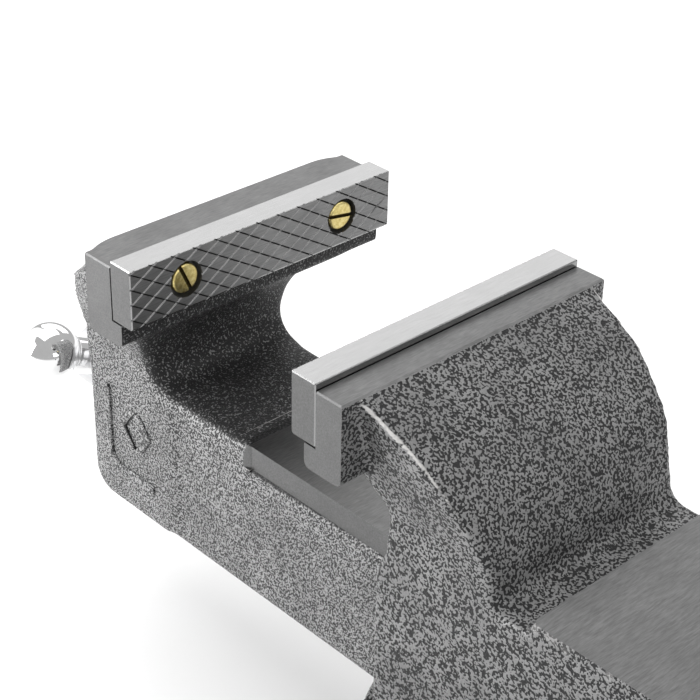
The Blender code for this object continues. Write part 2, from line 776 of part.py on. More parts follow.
def handle_rod(name, start, end, radius, collection, material=None):
    return rod(name, handle_point(start), handle_point(end), radius, collection, material)


def handle(parts, cutters, chrome):
    """The sliding bar and the ball on each of its ends."""
    near = -NEAR_BALL_FROM_AXIS
    far = near + HANDLE_SPAN
    pieces = [handle_rod("handle_bar", near - 3 * MM, far + 3 * MM, BAR_RADIUS, parts, chrome)]
    for side, centre, inward in (("right", near, 1), ("left", far, -1)):
        end = ball(f"handle_ball_{side}", handle_point(centre), BALL_RADIUS, parts, chrome)
        stop = centre - inward * (3 * MM + GAP)
        mouth = centre + inward * 14 * MM
        socket = handle_rod(f"ball_socket_{side}", stop, mouth, BAR_RADIUS + GAP, cutters)
        pieces.append(combine(end, "DIFFERENCE", socket))
    return pieces


# ---- Swivel clamps -------------------------------------------------------------------------------


def clamp_bolt(side, sign, parts, cutters, steel):
    """A T-bolt whose square head rides in the base's slot."""
    y = sign * SLOT_RADIUS
    head_top = SLOT_CEILING - GAP
    bolt = rod(
        f"clamp_bolt_{side}", (0, y, head_top - 1 * MM), (0, y, 63 * MM), CLAMP_BOLT_RADIUS, parts,
        steel, segments=24,
    )
    half = 7.5 * MM
    head = box(
        f"clamp_bolt_head_{side}", (-half, y - half, head_top - 7 * MM), (half, y + half, head_top), cutters
    )
    return combine(bolt, "UNION", head)


def clamp_ring(name, y, inner, outer, low, high, parts, material):
    profile = [(inner, high), (outer - 0.5 * MM, high), (outer, high - 0.5 * MM), (outer, low), (inner, low)]
    return turned(name, profile, Matrix.Translation((0, y, 0)), parts, material)


def clamp(side, sign, parts, cutters, steel, knob_black):
    """One clamp: a washer that stays with the vise, and a nut with its lever and knob."""
    y = sign * SLOT_RADIUS
    bore = CLAMP_BOLT_RADIUS + GAP
    washer_top = FLANGE_TOP + GAP + 2 * MM
    washer = clamp_ring(f"clamp_washer_{side}", y, bore, 9.5 * MM, FLANGE_TOP + GAP, washer_top, parts, steel)
    nut_low = washer_top + GAP
    nut = clamp_ring(f"clamp_nut_{side}", y, bore, 9 * MM, nut_low, nut_low + 14 * MM, parts, steel)
    flat = math.cos(LEVER_RISE)
    heading = Vector((-math.sin(LEVER_TURN) * flat, sign * math.cos(LEVER_TURN) * flat, math.sin(LEVER_RISE)))
    centre = Vector((0, y, nut_low + 7.5 * MM))
    start, end = 5.6 * MM, LEVER_LENGTH
    lever = rod(
        f"clamp_lever_{side}", centre + heading * start, centre + heading * end, LEVER_RADIUS, parts,
        steel, segments=24,
    )
    socket = rod(
        f"nut_socket_{side}", centre + heading * (start - GAP), centre + heading * 14 * MM,
        LEVER_RADIUS + GAP, cutters, segments=24,
    )
    combine(nut, "DIFFERENCE", socket)
    knob = ball(f"clamp_knob_{side}", centre + heading * end, KNOB_RADIUS, parts, knob_black)
    knob_socket = rod(
        f"knob_socket_{side}", centre + heading * (end + GAP), centre + heading * (end - 14 * MM),
        LEVER_RADIUS + GAP, cutters, segments=24,
    )
    combine(knob, "DIFFERENCE", knob_socket)
    return washer, [nut, lever, knob]


# ---- The whole vise ------------------------------------------------------------------------------


def main():
    clear_scene()
    parts = make_collection("bench_vise")
    cutters = make_collection("cutters")
    cutters.hide_render = True
    iron = make_material("hammertone_iron", (0.33, 0.33, 0.34), 0.45, 0.3)
    plate_steel = make_material("plate_steel", (0.42, 0.42, 0.43), 0.35, 1.0)
    steel = make_material("bright_steel", (0.6, 0.6, 0.6), 0.3, 1.0)
    brass = make_material("brass", (0.78, 0.6, 0.25), 0.3, 1.0)
    chrome = make_material("chrome", (0.85, 0.85, 0.86), 0.08, 1.0)
    black = make_material("black_plastic", (0.02, 0.02, 0.02), 0.4, 0.0)

    base = swivel_base(parts, cutters, iron)
    rear = [
        rear_body(parts, cutters, iron),
        jaw_plate("rear_jaw_plate", REAR_FACE_X, -1, parts, cutters, plate_steel),
    ]
    front = [
        front_body(parts, cutters, iron),
        jaw_plate("front_jaw_plate", FRONT_FACE_X, 1, parts, cutters, plate_steel),
    ]
    slot_angles = {"front_right": 24, "front_left": 80, "rear_right": 75, "rear_left": -30}
    for side, sign in SIDES:
        y = sign * SCREW_OFFSET
        turn = math.radians(slot_angles[f"front_{side}"])
        front.append(jaw_screw(f"front_jaw_screw_{side}", FRONT_FACE_X, 1, y, turn, parts, cutters, brass))
        turn = math.radians(slot_angles[f"rear_{side}"])
        rear.append(jaw_screw(f"rear_jaw_screw_{side}", REAR_FACE_X, -1, y, turn, parts, cutters, brass))

    nut = lead_nut(parts, cutters, iron)
    washer, shank, head_top = nut_fasteners(parts, steel)
    rear += [nut, washer, nut_bolt(shank, head_top, cutters)]

    screw = lead_screw(parts, cutters, steel)
    thrust = ring("thrust_washer", SPINDLE_BORE, 15 * MM, -193.3 * MM, BOSS_FACE - GAP, parts, steel)
    cup = ring("spring_washer", SPINDLE_BORE, 15 * MM, BLOCK_END + GAP, -146.1 * MM, parts, steel)
    spindle = [screw, thrust, cup, spindle_spring(parts, steel)]
    spindle += [retaining_collar(parts, cutters, steel), collar_pin(parts, steel)]
    bar = handle(parts, cutters, chrome)

    levers = []
    for side, sign in SIDES:
        washer, turning = clamp(side, sign, parts, cutters, steel, black)
        rear += [washer, clamp_bolt(side, sign, parts, cutters, steel)]
        levers.append(pivot(f"lever_axis_{side}", (0, sign * SLOT_RADIUS, FLANGE_TOP), turning, parts))

    handle_axis = pivot("handle_axis", (HANDLE_X, 0, SPINDLE_Z), bar, parts)
    spindle_axis = pivot("spindle_axis", (BOSS_FACE, 0, SPINDLE_Z), spindle + [handle_axis], parts)
    jaw_axis = pivot("jaw_axis", (0, 0, SLIDE_TOP), front + [spindle_axis], parts)
    pivot("swivel_axis", (0, 0, BASE_HEIGHT), rear + levers + [jaw_axis], parts)
    for obj in [base] + [piece for piece in parts.objects if piece.type == "MESH"]:
        smooth_round(obj)


if __name__ == "__main__":
    main()
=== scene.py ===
"""Finished surfaces and finishes of a bench vise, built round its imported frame.

+Z is up and the jaws clamp along X. Tables of shapes are in millimetres, and a function turns them
into metres once. Every piece takes its place from the frame's own boxes or from these tables.
"""

import math

import bmesh
import bpy
import numpy as np
from bpy.props import FloatProperty, FloatVectorProperty, IntProperty, PointerProperty
from mathutils import Matrix, Vector


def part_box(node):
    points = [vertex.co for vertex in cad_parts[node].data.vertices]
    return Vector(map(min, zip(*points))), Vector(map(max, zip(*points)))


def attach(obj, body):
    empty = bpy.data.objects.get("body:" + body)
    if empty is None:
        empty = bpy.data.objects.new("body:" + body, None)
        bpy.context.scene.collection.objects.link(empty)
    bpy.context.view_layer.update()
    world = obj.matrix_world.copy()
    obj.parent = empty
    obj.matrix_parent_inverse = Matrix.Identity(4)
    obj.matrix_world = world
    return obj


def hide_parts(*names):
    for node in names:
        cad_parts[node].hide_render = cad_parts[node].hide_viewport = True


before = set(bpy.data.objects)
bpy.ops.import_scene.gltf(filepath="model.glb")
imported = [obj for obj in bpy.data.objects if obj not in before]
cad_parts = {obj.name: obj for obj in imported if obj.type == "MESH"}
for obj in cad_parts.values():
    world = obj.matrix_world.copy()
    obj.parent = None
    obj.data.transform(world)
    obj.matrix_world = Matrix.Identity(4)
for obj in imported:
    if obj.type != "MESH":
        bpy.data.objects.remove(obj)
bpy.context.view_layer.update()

bl_info = {
    "name": "Bench Vise",
    "version": (1, 0, 0),
    "blender": (4, 5, 0),
    "location": "View3D > Sidebar > Vise",
    "description": "Builds the finished surfaces of a bench vise round its frame",
    "category": "Add Mesh",
}

MM = 0.001
TURN = 2 * math.pi
SIDES = (("right", -1), ("left", 1))
PLANES = {"XZ": (0, 2, 1), "YZ": (1, 2, 0), "XY": (0, 1, 2)}
ARC_STEP = math.radians(6)
SMOOTH_ANGLE = math.radians(38)
LEAST_LENGTH = 1e-7

# Heights, widths and places that more than one piece shares, in millimetres.
HEAD_TOP = 155.93
HEAD_BOTTOM = 130.8
SEAT_BOTTOM = 138.3
PLATE_BACK = 9.6
LEDGE_BACK = 5.2
JAW_HALF = 50.8
SCREW_OFFSET = 30.6
SCREW_Z = 148.7
STOCK = 4.0
SPINDLE_Z = 72.3
SPINDLE_BORE = 10.1
BASE_TOP = 30.0
FLANGE_BOTTOM = 30.4
SLOT_RADIUS = 48.0

# Side outlines (x, z, corner radius) and half widths (half width, z, corner radius) of the castings.
MOVING_SIDE = (
    (-141, 158.4, 0), (-151.4, 158.4, 0), (-172.5, 137.5, 30), (-183.5, 120, 26), (-188.5, 105, 12),
    (-187, 92, 12), (-187, 45.5, 9), (-148, 45.5, 0), (-144, 49.5, 0), (-144, 98.9, 0),
    (-153.8, 98.9, 9), (-153.8, 118.5, 14), (-136, 130.8, 0), (-136, 133, 0), (-141, 133, 0),
)
MOVING_WIDTHS = ((47, 160, 0), (41.4, 136, 30), (27.8, 107, 14), (27.8, 40, 0))
FIXED_SIDE = (
    (-51.5, 155.33, 0), (-40.5, 155.33, 2), (-22, 146.7, 32), (-7.6, 132.5, 30), (-0.8, 118, 24),
    (0.2, 108.6, 5), (11.8, 108.6, 1.5), (13.3, 114.6, 0), (62, 114.6, 0), (65, 104, 3),
    (65, 34.4, 0), (-42.6, 34.4, 0), (-42.6, 98, 6), (-39, 105, 6), (-39, 119, 8), (-51, 131.8, 0),
)
FIXED_WIDTHS = (
    (46.4, 160, 0), (43.3, 145, 30), (40.6, 133, 30), (36.4, 118.5, 10), (37, 108, 10), (37, 25, 0),
)

# Bare metals: dark and light tone, range of roughness, tool marks in a metre across and along the
# jaw, and the marks' depth in millimetres.
MACHINED_FINISHES = {
    "machined_iron": ((0.105,) * 3, (0.17,) * 3, (0.34, 0.44), 2200.0, 260.0, 0.012),
    "ground_steel": ((0.31,) * 3, (0.345,) * 3, (0.2, 0.26), 2600.0, 160.0, 0.003),
    "serrated_steel": ((0.19,) * 3, (0.3,) * 3, (0.4, 0.5), 2600.0, 90.0, 0.02),
    "sawn_steel": ((0.1,) * 3, (0.16,) * 3, (0.24, 0.4), 1800.0, 300.0, 0.012),
    # The two groove families are lit and shaded copies of one steel: groove_shade paints shade, the other
    # paints a highlight.
    "groove_shade": ((0.08,) * 3, (0.13,) * 3, (0.4, 0.5), 1500.0, 300.0, 0.004),
    "groove_highlight_steel": ((0.34,) * 3, (0.5,) * 3, (0.16, 0.28), 1500.0, 300.0, 0.004),
    "bright_steel": ((0.5,) * 3, (0.62,) * 3, (0.18, 0.3), 60.0, 2200.0, 0.01),
    "oiled_steel": ((0.2,) * 3, (0.34,) * 3, (0.22, 0.4), 300.0, 900.0, 0.02),
    "spring_steel": ((0.1,) * 3, (0.22,) * 3, (0.25, 0.4), 800.0, 800.0, 0.01),
    "zinc": ((0.5, 0.51, 0.52), (0.66, 0.67, 0.69), (0.22, 0.36), 900.0, 900.0, 0.01),
    "grey_iron": ((0.14,) * 3, (0.24,) * 3, (0.4, 0.55), 1200.0, 1200.0, 0.05),
    "brass": ((0.55, 0.42, 0.13), (0.95, 0.84, 0.42), (0.2, 0.42), 900.0, 900.0, 0.06),
    # Dark brass for the screw slots: painted shade.
    "brass_slot_shade": ((0.1, 0.075, 0.03), (0.2, 0.15, 0.06), (0.4, 0.5), 900.0, 900.0, 0.012),
    "chrome": ((0.86,) * 3, (0.92,) * 3, (0.03, 0.07), 300.0, 300.0, 0.0005),
}
# Colour of edge wear, which also paints a highlight along the fixed jaw's hood ridges.
WORN_PAINT_AND_HIGHLIGHT = (0.55, 0.54, 0.53)
WEAR_AND_HIGHLIGHT_UNEVENNESS = 0.12

# The fixed jaw's skin is finer than the grain, and loses its small bumps first, then its sharp edges.
FIXED_GRAIN = 0.8
BUMP_ROUNDS = 60
SWELL = 0.526
FIXED_ROUNDS = 9


# ---- Settings ------------------------------------------------------------------------------------


class ViseCastingSettings(bpy.types.PropertyGroup):
    """How the iron castings are rounded."""

    grain: FloatProperty(
        name="Mesh Grain", description="Size of the faces on a cast surface",
        default=1.15 * MM, min=0.9 * MM, subtype="DISTANCE", unit="LENGTH",
    )
    rounding: IntProperty(
        name="Rounding", description="How often the moving jaw and the base are evened out",
        default=5, min=0, max=40,
    )
    throat_rounding: IntProperty(
        name="Throat Rounding", description="Extra evening out of the edges under the moving jaw",
        default=36, min=0, max=120,
    )


class VisePaintSettings(bpy.types.PropertyGroup):
    """The hammered enamel on the castings."""

    blob: FloatProperty(
        name="Blob Size", description="Distance between the light blobs of the enamel on the fixed jaw",
        default=0.78 * MM, subtype="DISTANCE", unit="LENGTH",
    )
    fine_blob: FloatProperty(
        name="Fine Blob Size", description="Distance between the light blobs on the moving jaw",
        default=0.58 * MM, subtype="DISTANCE", unit="LENGTH",
    )
    dark: FloatVectorProperty(
        name="Dark Colour", description="Colour between the blobs", subtype="COLOR",
        default=(0.02, 0.02, 0.0205), min=0, max=1,
    )
    light: FloatVectorProperty(
        name="Light Colour", description="Colour of the blobs", subtype="COLOR",
        default=(0.26, 0.26, 0.26), min=0, max=1,
    )


class VisePlateSettings(bpy.types.PropertyGroup):
    """The diamond pattern cut into the jaw plates."""

    pitch: FloatProperty(
        name="Groove Pitch", description="Distance between grooves along the jaw",
        default=8.0 * MM, subtype="DISTANCE", unit="LENGTH",
    )
    slope: FloatProperty(
        name="Groove Angle", description="Angle of the grooves to the jaw's length",
        default=math.atan(0.62), subtype="ANGLE", unit="ROTATION",
    )
    width: FloatProperty(
        name="Groove Width", description="Width of a groove at the face",
        default=0.7 * MM, subtype="DISTANCE", unit="LENGTH",
    )
    depth: FloatProperty(
        name="Groove Depth", description="Depth of a groove below the face",
        default=0.45 * MM, subtype="DISTANCE", unit="LENGTH",
    )


class ViseScrewSettings(bpy.types.PropertyGroup):
    """The lead screw's thread."""

    lead: FloatProperty(
        name="Lead", description="Advance of the lead screw in one turn",
        default=5.0 * MM, subtype="DISTANCE", unit="LENGTH",
    )
    depth: FloatProperty(
        name="Thread Depth", description="Height of the thread from root to crest",
        default=2.3 * MM, subtype="DISTANCE", unit="LENGTH",
    )


class ViseStageSettings(bpy.types.PropertyGroup):
    """Camera, lights and floor."""

    lens: FloatProperty(
        name="Lens", description="Focal length of the camera", default=92.987, unit="CAMERA",
    )
    overhead: FloatProperty(
        name="Overhead Light", description="Power of the softbox above", default=16.0, unit="POWER",
    )
    side: FloatProperty(
        name="Side Light", description="Power of the softbox at the near side", default=7.8, unit="POWER",
    )
    back: FloatProperty(
        name="Back Light", description="Power of the softbox behind", default=6.6, unit="POWER",
    )
    fill: FloatProperty(
        name="Fill Light", description="Power of the low softbox behind the fixed jaw",
        default=3.0, unit="POWER",
    )
    glint: FloatProperty(
        name="Glint Light", description="Power of the long strip above the fixed jaw",
        default=2.6, unit="POWER",
    )
    wall: FloatProperty(
        name="Wall Light", description="Power of the wide softbox beyond the handle",
        default=11.0, unit="POWER",
    )
    rim: FloatProperty(
        name="Rim Light", description="Power of the small softbox that catches the back edges",
        default=1.2, unit="POWER",
    )
    sky: FloatProperty(
        name="Surround", description="Brightness of the pale surround", default=0.5, min=0,
    )
    floor: FloatVectorProperty(
        name="Floor Colour", description="Colour of the floor", subtype="COLOR",
        default=(0.9, 0.9, 0.9), min=0, max=1,
    )


class ViseSettings(bpy.types.PropertyGroup):
    """Every setting of the vise."""

    casting: PointerProperty(type=ViseCastingSettings)
    paint: PointerProperty(type=VisePaintSettings)
    plate: PointerProperty(type=VisePlateSettings)
    screw: PointerProperty(type=ViseScrewSettings)
    stage: PointerProperty(type=ViseStageSettings)


# ---- Outlines and surfaces -----------------------------------------------------------------------


def unit(vectors):
    """Vectors at length 1, along the last axis."""
    vectors = np.asarray(vectors, float)
    return vectors / np.linalg.norm(vectors, axis=-1, keepdims=True)


def rounded(corners, step=ARC_STEP):
    """A closed outline from (u, v, radius) corners.

    Each corner becomes the arc that touches both its sides: its centre is on the bisector, at
    radius / sin(half the corner's angle), and the angle runs evenly between the touching points.
    """
    corners = np.array(corners, float)
    runs = []
    for corner, before, after in zip(corners, np.roll(corners, 1, 0), np.roll(corners, -1, 0)):
        place, radius = corner[:2], corner[2]
        if radius == 0:
            runs.append(place[None])
            continue
        back, on = unit(before[:2] - place), unit(after[:2] - place)
        half = math.acos(np.clip(back @ on, -1, 1)) / 2
        centre = place + unit(back + on) * radius / math.sin(half)
        start = place + back * radius / math.tan(half) - centre
        end = place + on * radius / math.tan(half) - centre
        first = math.atan2(start[1], start[0])
        sweep = (math.atan2(end[1], end[0]) - first + math.pi) % TURN - math.pi
        angle = first + sweep * np.linspace(0, 1, max(2, math.ceil(abs(sweep) / step) + 1))
        runs.append(centre + radius * np.stack([np.cos(angle), np.sin(angle)], 1))
    return np.concatenate(runs)


def mirrored(halves):
    """A closed outline from (half width, height, radius) corners, top to bottom."""
    return rounded([(-u, v, r) for u, v, r in halves] + [(u, v, r) for u, v, r in halves[::-1]])


def rectangle(low, high):
    return np.array([(low[0], low[1]), (high[0], low[1]), (high[0], high[1]), (low[0], high[1])], float)


def inset(outline, distance):
    """The outline moved inwards: each point goes along its mitre until both its sides have moved."""
    along = unit(np.roll(outline, -1, 0) - outline)
    square = np.stack([-along[:, 1], along[:, 0]], 1)
    u, v = outline.T
    anticlockwise = np.sum(u * np.roll(v, -1) - np.roll(u, -1) * v) > 0
    before = np.roll(square, 1, 0)
    mitre = (before + square) / (1 + np.sum(before * square, 1, keepdims=True))
    return outline + mitre * distance * (1 if anticlockwise else -1)


def grid_faces(rows, columns, wrap_rows, wrap_columns):
    """Quads between neighbouring points of a grid, round the end where a direction wraps."""
    index = np.arange(rows * columns).reshape(rows, columns)
    index = np.concatenate([index, index[:1]]) if wrap_rows else index
    index = np.concatenate([index, index[:, :1]], 1) if wrap_columns else index
    quads = np.stack([index[:-1, :-1], index[1:, :-1], index[1:, 1:], index[:-1, 1:]], -1)
    return quads.reshape(-1, 4).tolist()


def extruded(outline, plane, low, high, chamfer=0):
    """A flat outline in millimetres carried straight between two places on the third axis.

    With a chamfer, each end is the outline set inwards by it, reached over the same length.
    """
    u, v, w = PLANES[plane]
    rings = [(outline, low), (outline, high)]
    if chamfer:
        small = inset(outline, chamfer)
        rings = [(small, low), (outline, low + chamfer), (outline, high - chamfer), (small, high)]
    points = np.zeros((len(rings), len(outline), 3))
    points[:, :, u] = [ring[:, 0] for ring, _ in rings]
    points[:, :, v] = [ring[:, 1] for ring, _ in rings]
    points[:, :, w] = np.array([place for _, place in rings])[:, None]
    count = len(outline)
    last = (len(rings) - 1) * count
    caps = [list(range(count))[::-1], list(range(last, last + count))]
    return points.reshape(-1, 3) * MM, grid_faces(len(rings), count, False, True) + caps


def block(low, high, chamfer=0):
    """A box between two corners in millimetres."""
    return extruded(rectangle(low[:2], high[:2]), "XY", low[2], high[2], chamfer)


def turned(profile, place, around=96, ring=False):
    """A profile of (radius, height) in millimetres carried once round local Z.

    A point is (r cos a, r sin a, h). A ring's profile closes on itself, and any other ends on the axis.
    """
    radius, height = np.array(profile, float).T * MM
    angle = np.linspace(0, TURN, around, endpoint=False)[:, None]
    grid = np.stack([radius * np.cos(angle), radius * np.sin(angle), height + 0 * angle], -1)
    return moved(grid.reshape(-1, 3), place), grid_faces(around, len(radius), True, ring)


def cylinder(start, end, radius, around=64):
    """A plain cylinder between two points in millimetres."""
    start, end = Vector(start) * MM, Vector(end) * MM
    length = (end - start).length / MM
    return turned([(0, 0), (radius, 0), (radius, length), (0, length)], facing(start, end - start), around)


def tube(path, radius, sides, reference):
    """A circle carried along a path in metres: p + r (u cos a + v sin a), with u and v square to the path."""
    tangent = unit(np.gradient(path, axis=0))
    across = unit(np.cross(tangent, reference))
    up = np.cross(across, tangent)
    angle = np.linspace(0, TURN, sides, endpoint=False)[None, :, None]
    grid = path[:, None] + radius * (across[:, None] * np.cos(angle) + up[:, None] * np.sin(angle))
    count = len(path) * sides
    caps = [list(range(sides))[::-1], list(range(count - sides, count))]
    return grid.reshape(-1, 3), grid_faces(len(path), sides, False, True) + caps


def diamond_rods(starts, ends, side, up, half_width, half_depth):
    """Straight rods of diamond section, one for each pair of points, in metres."""
    section = np.array([side * half_width, up * half_depth, -side * half_width, -up * half_depth])
    points = np.stack([starts[:, None] + section, ends[:, None] + section], 1)
    first = 8 * np.arange(len(starts))[:, None, None]
    walls = np.array([(i, (i + 1) % 4, 4 + (i + 1) % 4, 4 + i) for i in range(4)])
    faces = np.concatenate([walls, [(3, 2, 1, 0), (4, 5, 6, 7)]])[None] + first
    return points.reshape(-1, 3), faces.reshape(-1, 4).tolist()


def moved(points, place):
    """Points turned and carried by a 4 x 4 matrix."""
    matrix = np.array(place, float)
    return points @ matrix[:3, :3].T + matrix[:3, 3]


def facing(origin, direction):
    """A frame at the origin given, whose local Z runs along the direction."""
    turn = Vector(direction).to_track_quat("Z", "Y").to_matrix().to_4x4()
    return Matrix.Translation(Vector(origin)) @ turn


def on_spindle(x):
    """A frame on the spindle's axis at x millimetres, whose local Z runs along +X."""
    return Matrix.Translation(Vector((x, 0, SPINDLE_Z)) * MM) @ Matrix.Rotation(math.pi / 2, 4, "Y")


# ---- Pieces --------------------------------------------------------------------------------------


def solid(name, shape, material):
    """A closed mesh object from (points, faces), with its poles merged and its faces turned outwards."""
    points, faces = shape
    mesh = bpy.data.meshes.new(name)
    mesh.from_pydata(points.tolist(), [], faces)
    mesh.materials.append(material)
    shaped = bmesh.new()
    shaped.from_mesh(mesh)
    bmesh.ops.remove_doubles(shaped, verts=shaped.verts, dist=LEAST_LENGTH)
    bmesh.ops.recalc_face_normals(shaped, faces=shaped.faces)
    shaped.to_mesh(mesh)
    shaped.free()
    obj = bpy.data.objects.new(name, mesh)
    bpy.context.scene.collection.objects.link(obj)
    return obj


def face_material(obj, material, chosen):
    """Gives the faces picked out by a function of their normals another material."""
    mesh = obj.data
    if material.name not in mesh.materials:
        mesh.materials.append(material)
    count = len(mesh.polygons)
    normals, indices = np.empty(count * 3), np.empty(count, np.int32)
    mesh.polygons.foreach_get("normal", normals)
    mesh.polygons.foreach_get("material_index", indices)
    indices[chosen(normals.reshape(-1, 3))] = mesh.materials.find(material.name)
    mesh.polygons.foreach_set("material_index", indices)


def settle(obj):
    """Gives the object the mesh that its modifiers make, and takes them off."""
    graph = bpy.context.evaluated_depsgraph_get()
    shaped = bpy.data.meshes.new_from_object(
        obj.evaluated_get(graph), preserve_all_data_layers=True, depsgraph=graph
    )
    worn_out = obj.data
    obj.modifiers.clear()
    obj.data = shaped
    bpy.data.meshes.remove(worn_out)


def combine(obj, operation, *tools):
    """UNION, INTERSECT or DIFFERENCE with each tool in turn. A tool's faces keep its own material."""
    for tool in tools:
        before = (len(obj.data.vertices), len(obj.data.polygons))
        modifier = obj.modifiers.new(tool.name, "BOOLEAN")
        modifier.operation = operation
        modifier.solver = "MANIFOLD"
        modifier.material_mode = "TRANSFER"
        modifier.object = tool
        settle(obj)
        if (len(obj.data.vertices), len(obj.data.polygons)) == before or not obj.data.polygons:
            raise RuntimeError(f"{operation} with {tool.name} changed nothing on {obj.name}")
        bpy.data.meshes.remove(tool.data)
    return obj


def cast(obj, grain):
    """Gives a rough blank an even skin of small faces, as a sand casting has."""
    modifier = obj.modifiers.new("skin", "REMESH")
    modifier.mode = "VOXEL"
    modifier.voxel_size = grain
    settle(obj)
    if len(obj.data.polygons) < 1000:
        raise RuntimeError(f"{obj.name} was not skinned")
    return obj


def points_of(mesh):
    points = np.empty(len(mesh.vertices) * 3)
    mesh.vertices.foreach_get("co", points)
    return points.reshape(-1, 3)


def neighbours(mesh):
    """A function that gives the mean of each vertex's neighbours, for any array of vertex vectors."""
    edges = np.empty(len(mesh.edges) * 2, np.int32)
    mesh.edges.foreach_get("vertices", edges)
    near, far = edges.reshape(-1, 2).T
    here, there = np.concatenate([near, far]), np.concatenate([far, near])
    count = len(mesh.vertices)
    shares = np.maximum(np.bincount(here, minlength=count), 1)

    def mean(values):
        sums = [np.bincount(here, values[there, axis], count) for axis in range(values.shape[1])]
        return np.stack(sums, 1) / shares[:, None]

    return mean


def even_out(obj, rounds, weight=0.5, swell=0.0):
    """Moves each vertex by weight towards the mean of its neighbours, as many times as asked.

    With swell, each step is followed by one of swell away from the mean, so only small bumps go.
    """
    points = points_of(obj.data)
    mean = neighbours(obj.data)
    weights = np.broadcast_to(np.asarray(weight, float), len(points))[:, None]
    for _ in range(rounds):
        points += weights * (mean(points) - points)
        if swell:
            points -= swell * (mean(points) - points)
    obj.data.vertices.foreach_set("co", points.ravel())
    obj.data.update()


def fade(values, start, end):
    """Smooth step from 0 at start to 1 at end."""
    share = np.clip((values - start) / (end - start), 0, 1)
    return share * share * (3 - 2 * share)


def mark_edges(obj, painted_shade=None, plain=None, rubbed_and_highlit=None):
    """Stores how far each vertex stands proud of its neighbours, as a share of their distance.

    The second argument gives, from points and normals, where the enamel gets painted shade, plain gives
    the places whose edges never wear, and the last gives a least value for edges that always show wear and a
    painted highlight.
    """
    mesh = obj.data
    points = points_of(mesh)
    mean = neighbours(mesh)
    normals = np.empty(len(points) * 3)
    mesh.vertices.foreach_get("normal", normals)
    normals = normals.reshape(-1, 3)
    reach = bpy.context.scene.vise.casting.grain
    proud = np.clip(np.sum((points - mean(points)) * normals, 1) / reach, -1, 1)[:, None]
    proud = 0.5 * proud + 0.5 * mean(proud)
    if plain:
        kept = plain(points)
        proud[kept] = np.minimum(proud[kept], 0)
    if rubbed_and_highlit:
        proud[:, 0] = np.maximum(proud[:, 0], rubbed_and_highlit(points))
    # The second attribute holds where the enamel gets painted shade.
    shade_level = painted_shade(points, normals) if painted_shade else np.zeros(len(points))
    for name, values in (("edge", proud[:, 0]), ("painted_shade", shade_level)):
        attribute = mesh.attributes.new(name, "FLOAT", "POINT")
        attribute.data.foreach_set("value", values.astype(np.float32))


def finish_piece(obj, body, slot, *nodes):
    """Shades a piece, makes it stand for its CAD nodes and puts it on its body."""
    obj.data.shade_smooth()
    obj.data.set_sharp_from_angle(angle=SMOOTH_ANGLE)
    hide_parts(*nodes)
    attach(obj, body)
    return obj


# ---- Finishes ------------------------------------------------------------------------------------


def add(tree, kind, place, settings=None, **inputs):
    """A node at a place in its tree, with its settings, and each input set or linked by name."""
    made = tree.nodes.new(kind)
    made.location = place
    for name, value in (settings or {}).items():
        setattr(made, name, value)
    for name, value in inputs.items():
        socket = made.inputs[int(name[1:]) if name[0] == "_" else name.replace("_", " ")]
        if isinstance(value, bpy.types.NodeSocket):
            tree.links.new(value, socket)
        else:
            socket.default_value = value
    return made


def new_group(name, inputs, outputs):
    """An empty shader group. Inputs and outputs are (name, kind, default)."""
    group = bpy.data.node_groups.new(name, "ShaderNodeTree")
    for in_out, sockets in (("INPUT", inputs), ("OUTPUT", outputs)):
        for label, kind, default in sockets:
            socket = group.interface.new_socket(label, in_out=in_out, socket_type="NodeSocket" + kind)
            if default is not None:
                socket.default_value = default
    return group, add(group, "NodeGroupInput", (-900, 0)), add(group, "NodeGroupOutput", (700, 0))


def hammered_group():
    """Blobs of enamel: a smooth noise with one size of feature, cut into two tones near its middle."""
    group, given, result = new_group(
        "hammered_enamel",
        [
            ("Vector", "Vector", None), ("Blob Size", "Float", 0.002), ("Softness", "Float", 0.05),
            ("Middle", "Float", 0.49),
        ],
        [("Blobs", "Float", None), ("Height", "Float", None), ("Drift", "Float", None)],
    )
    scale = add(group, "ShaderNodeMath", (-700, 100), {"operation": "DIVIDE"}, _0=1.0, _1=given.outputs[1])
    noise = add(
        group, "ShaderNodeTexNoise", (-500, 100), {"normalize": True},
        Vector=given.outputs[0], Scale=scale.outputs[0], Detail=0.0, Distortion=0.55,
    )
    softness, middle = given.outputs[2], given.outputs[3]
    low = add(group, "ShaderNodeMath", (-500, -150), {"operation": "SUBTRACT"}, _0=middle, _1=softness)
    high = add(group, "ShaderNodeMath", (-500, -320), {"operation": "ADD"}, _0=middle, _1=softness)
    blobs = add(
        group, "ShaderNodeMapRange", (-200, 100), {"interpolation_type": "SMOOTHSTEP"},
        _0=noise.outputs[0], _1=low.outputs[0], _2=high.outputs[0],
    )
    drift = add(
        group, "ShaderNodeTexNoise", (-500, -500), None, Vector=given.outputs[0], Scale=55.0, Detail=2.0
    )
    group.links.new(blobs.outputs[0], result.inputs[0])
    group.links.new(noise.outputs[0], result.inputs[1])
    group.links.new(drift.outputs[0], result.inputs[2])
    return group


def machining_group():
    """Tool marks, a noise stretched along one axis, and stains, a noise with no direction."""
    group, given, result = new_group(
        "machining_marks",
        [("Vector", "Vector", None), ("Across", "Float", 2600.0), ("Along", "Float", 70.0)],
        [("Marks", "Float", None), ("Stains", "Float", None)],
    )
    vector, across, along = given.outputs[0], given.outputs[1], given.outputs[2]
    scale = add(group, "ShaderNodeCombineXYZ", (-700, -150), None, X=across, Y=along, Z=across)
    place = add(
        group, "ShaderNodeVectorMath", (-500, 0), {"operation": "MULTIPLY"}, _0=vector, _1=scale.outputs[0]
    )
    marks = add(
        group, "ShaderNodeTexNoise", (-300, 0), None,
        Vector=place.outputs[0], Scale=1.0, Detail=3.0, Roughness=0.6,
    )
    stains = add(
        group, "ShaderNodeTexNoise", (-300, -300), None, Vector=vector, Scale=70.0, Detail=4.0, Roughness=0.6
    )
    group.links.new(marks.outputs[0], result.inputs[0])
    group.links.new(stains.outputs[0], result.inputs[1])
    return group


